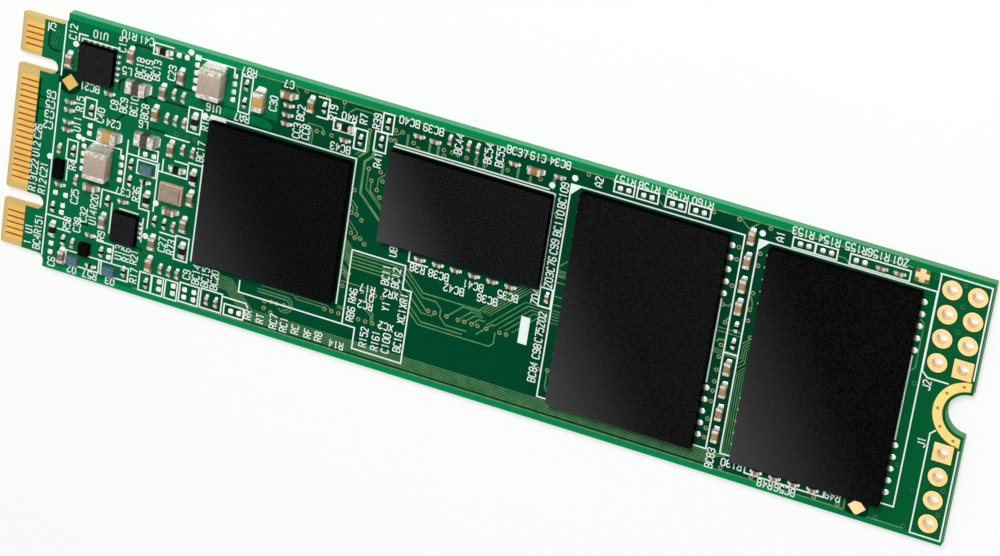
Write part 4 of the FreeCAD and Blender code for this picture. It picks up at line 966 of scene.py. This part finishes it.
# Dark gaps between the copper areas of the power zone and the connector
GAP_WIDTH = 0.16
COPPER_GAPS = [
    [(2.15, 4.9), (2.15, -4.8)], [(2.5, 9.3), (2.5, 7.9), (2.8, 7.6), (3.6, 7.6)],
    [(2.2, 3.4), (2.7, 3.4), (2.9, 3.1)], [(2.2, 2.4), (2.7, 2.4)], [(3.4, 5.7), (4.2, 6.2), (5.1, 6.2)],
    [(8.9, 3.2), (9.7, 4.1), (9.7, 4.4)], [(9.3, 6.95), (8.9, 6.6), (8.9, 5.8)],
    [(10.9, 6.05), (15.0, 6.05)], [(11.2, 7.75), (12.3, 7.75)], [(13.4, 7.55), (15.1, 7.55)],
    [(11.2, 3.45), (13.1, 3.45), (13.4, 3.2)], [(11.1, 5.75), (11.6, 5.2), (11.6, 4.4)],
    [(9.9, 9.5), (9.9, 10.0), (11.3, 10.0)], [(5.3, -6.3), (7.6, -6.3)],
    [(10.3, -6.9), (12.2, -6.9), (12.8, -7.4)], [(5.2, -9.0), (5.2, -10.3)],
]
areas = Form()
for low, high in ((HALF_WIDTH - BORDER_WIDTH, HALF_WIDTH - SIDE_INSET),
                  (SIDE_INSET - HALF_WIDTH, BORDER_WIDTH - HALF_WIDTH)):
    areas.prism(rectangle(BORDER_START, low, BOARD_LENGTH - END_INSET, high), *AREA_LEVELS)
for start in (0, 90, 180, 270):
    tips = circle(*NEAR_DIAMOND, DIAMOND_REACH, 1, start, start + 90)
    areas.prism(circle(*NEAR_DIAMOND, FREE_REACH, 6, start, start + 90) + tips[::-1], *AREA_LEVELS, 1)
for side_x in (-1, 1):
    for side_y in (-1, 1):
        for place, quarter, finish in ((FAR_DIAMOND, DIAMOND_QUARTER, 1), (CROSS, CROSS_QUARTER, 2)):
            outline = [(place[0] + side_x * x, place[1] + side_y * y) for x, y in quarter]
            if side_x * side_y < 0:
                outline.reverse()
            areas.prism(outline, *AREA_LEVELS, finish)
for outline in POWER_AREAS:
    areas.prism(outline, *AREA_LEVELS, 3)
for route in COPPER_GAPS:
    areas.ribbon(route, GAP_WIDTH, *AREA_LEVELS, 1)
for node in ("long_header_eyelets", "short_header_eyelets"):
    for low, high in separate_boxes(node):
        x, y, reach, square = pad_form(low, high)
        areas.ring(x, y, reach, reach + PAD_CLEARANCE, *AREA_LEVELS, 1, EYELET_SIDES, square)
areas.piece("mask_areas", CLEAR_GREEN, DARK_GREEN, BARE_BROWN_AND_SHADE, POWER_GREEN)

# Plated holes of the screw's ring, set round its seat at equal angles
RING_HOLES = 5
RING_START = 108
RING_STEP = 36
RING_HOLE_REACH = 2.38
RING_HOLE_RADIUS = 0.13
ring_dots = Form()
for step in range(RING_HOLES):
    angle = math.radians(RING_START + RING_STEP * step)
    x, y = BOARD_LENGTH + RING_HOLE_REACH * math.cos(angle), RING_HOLE_REACH * math.sin(angle)
    ring_dots.prism(circle(x, y, RING_HOLE_RADIUS, VIA_SIDES), *AREA_LEVELS)
ring_dots.piece("ring_vias", DARK_GOLD)


# Light, floor and camera

SKY_LIGHT = 0.42
KEY_PLACE = (0.0, 0.27, 0.36)
KEY_SIZE = 0.16
KEY_POWER = 1.45
FLOOR_REACH = 1.5
FLOOR_DEPTH = -0.00002
FLOOR_GLOW = 0.6
CAMERA_PLACE = (0.096021, 0.140930, 0.289295)
CAMERA_TURN = (-21.95662, 21.61070, 8.81294)
CAMERA_LENS = 157.23


def plain_sight(tree):
    """1 for rays that show a surface to the camera, straight, mirrored or looked through."""
    path = add_node(tree, "LightPath", {})
    shown = path.outputs["Is Camera Ray"]
    for kind in ("Is Glossy Ray", "Is Transmission Ray"):
        either = add_node(tree, "Math", {0: shown, 1: path.outputs[kind]}, operation="MAXIMUM")
        shown = either.outputs["Value"]
    return shown


def white_world():
    """A sky that is white where it is seen, and softer where it lights."""
    world = bpy.data.worlds.new("studio")
    bpy.context.scene.world = world
    world.use_nodes = True
    tree = world.node_tree
    strength = add_node(tree, "Mix", {"A": SKY_LIGHT, "B": 1.0, "Factor": plain_sight(tree)})
    fill(tree, tree.nodes["Background"], {"Color": (1, 1, 1, 1), "Strength": strength.outputs["Result"]})


def key_light():
    """A round lamp on the far side that looks at the board's middle."""
    lamp = bpy.data.lights.new("key_light", "AREA")
    lamp.shape = "DISK"
    lamp.size = KEY_SIZE
    lamp.energy = KEY_POWER
    item = add_item("key_light", lamp)
    item.location = KEY_PLACE
    item.rotation_euler = (Vector((0, 0, 0)) - Vector(KEY_PLACE)).to_track_quat("-Z", "Y").to_euler()


def pale_floor():
    """A floor that takes shadows, and glows a little so that it melts into the background."""
    mesh = bpy.data.meshes.new("floor")
    square = rectangle(-FLOOR_REACH, -FLOOR_REACH, FLOOR_REACH, FLOOR_REACH)
    mesh.from_pydata([(x, y, FLOOR_DEPTH) for x, y in square], [], [[0, 1, 2, 3]])
    floor = add_item("floor", mesh)
    paint = surface("floor_paint", (250, 250, 250), (253, 253, 253), 60.0, 0.9, 0.0, 0.1, 0.0)
    tree = paint.node_tree
    share = add_node(tree, "Math", {0: plain_sight(tree), 1: FLOOR_GLOW}, operation="MULTIPLY")
    blend = add_node(tree, "MixShader", {"Fac": share.outputs["Value"],
                                         1: tree.nodes["Principled BSDF"].outputs["BSDF"],
                                         2: add_node(tree, "Emission", {}).outputs["Emission"]})
    fill(tree, tree.nodes["Material Output"], {"Surface": blend.outputs["Shader"]})
    mesh.materials.append(paint)


white_world()
key_light()
pale_floor()

scene = bpy.context.scene
scene.view_settings.view_transform = "Standard"
camera = bpy.data.cameras.new("camera")
camera.sensor_width = 36
camera.lens = CAMERA_LENS
camera.clip_start = 0.01
camera_item = add_item("camera", camera)
camera_item.location = CAMERA_PLACE
camera_item.rotation_euler = Euler([math.radians(angle) for angle in CAMERA_TURN], "XYZ")
scene.camera = camera_item
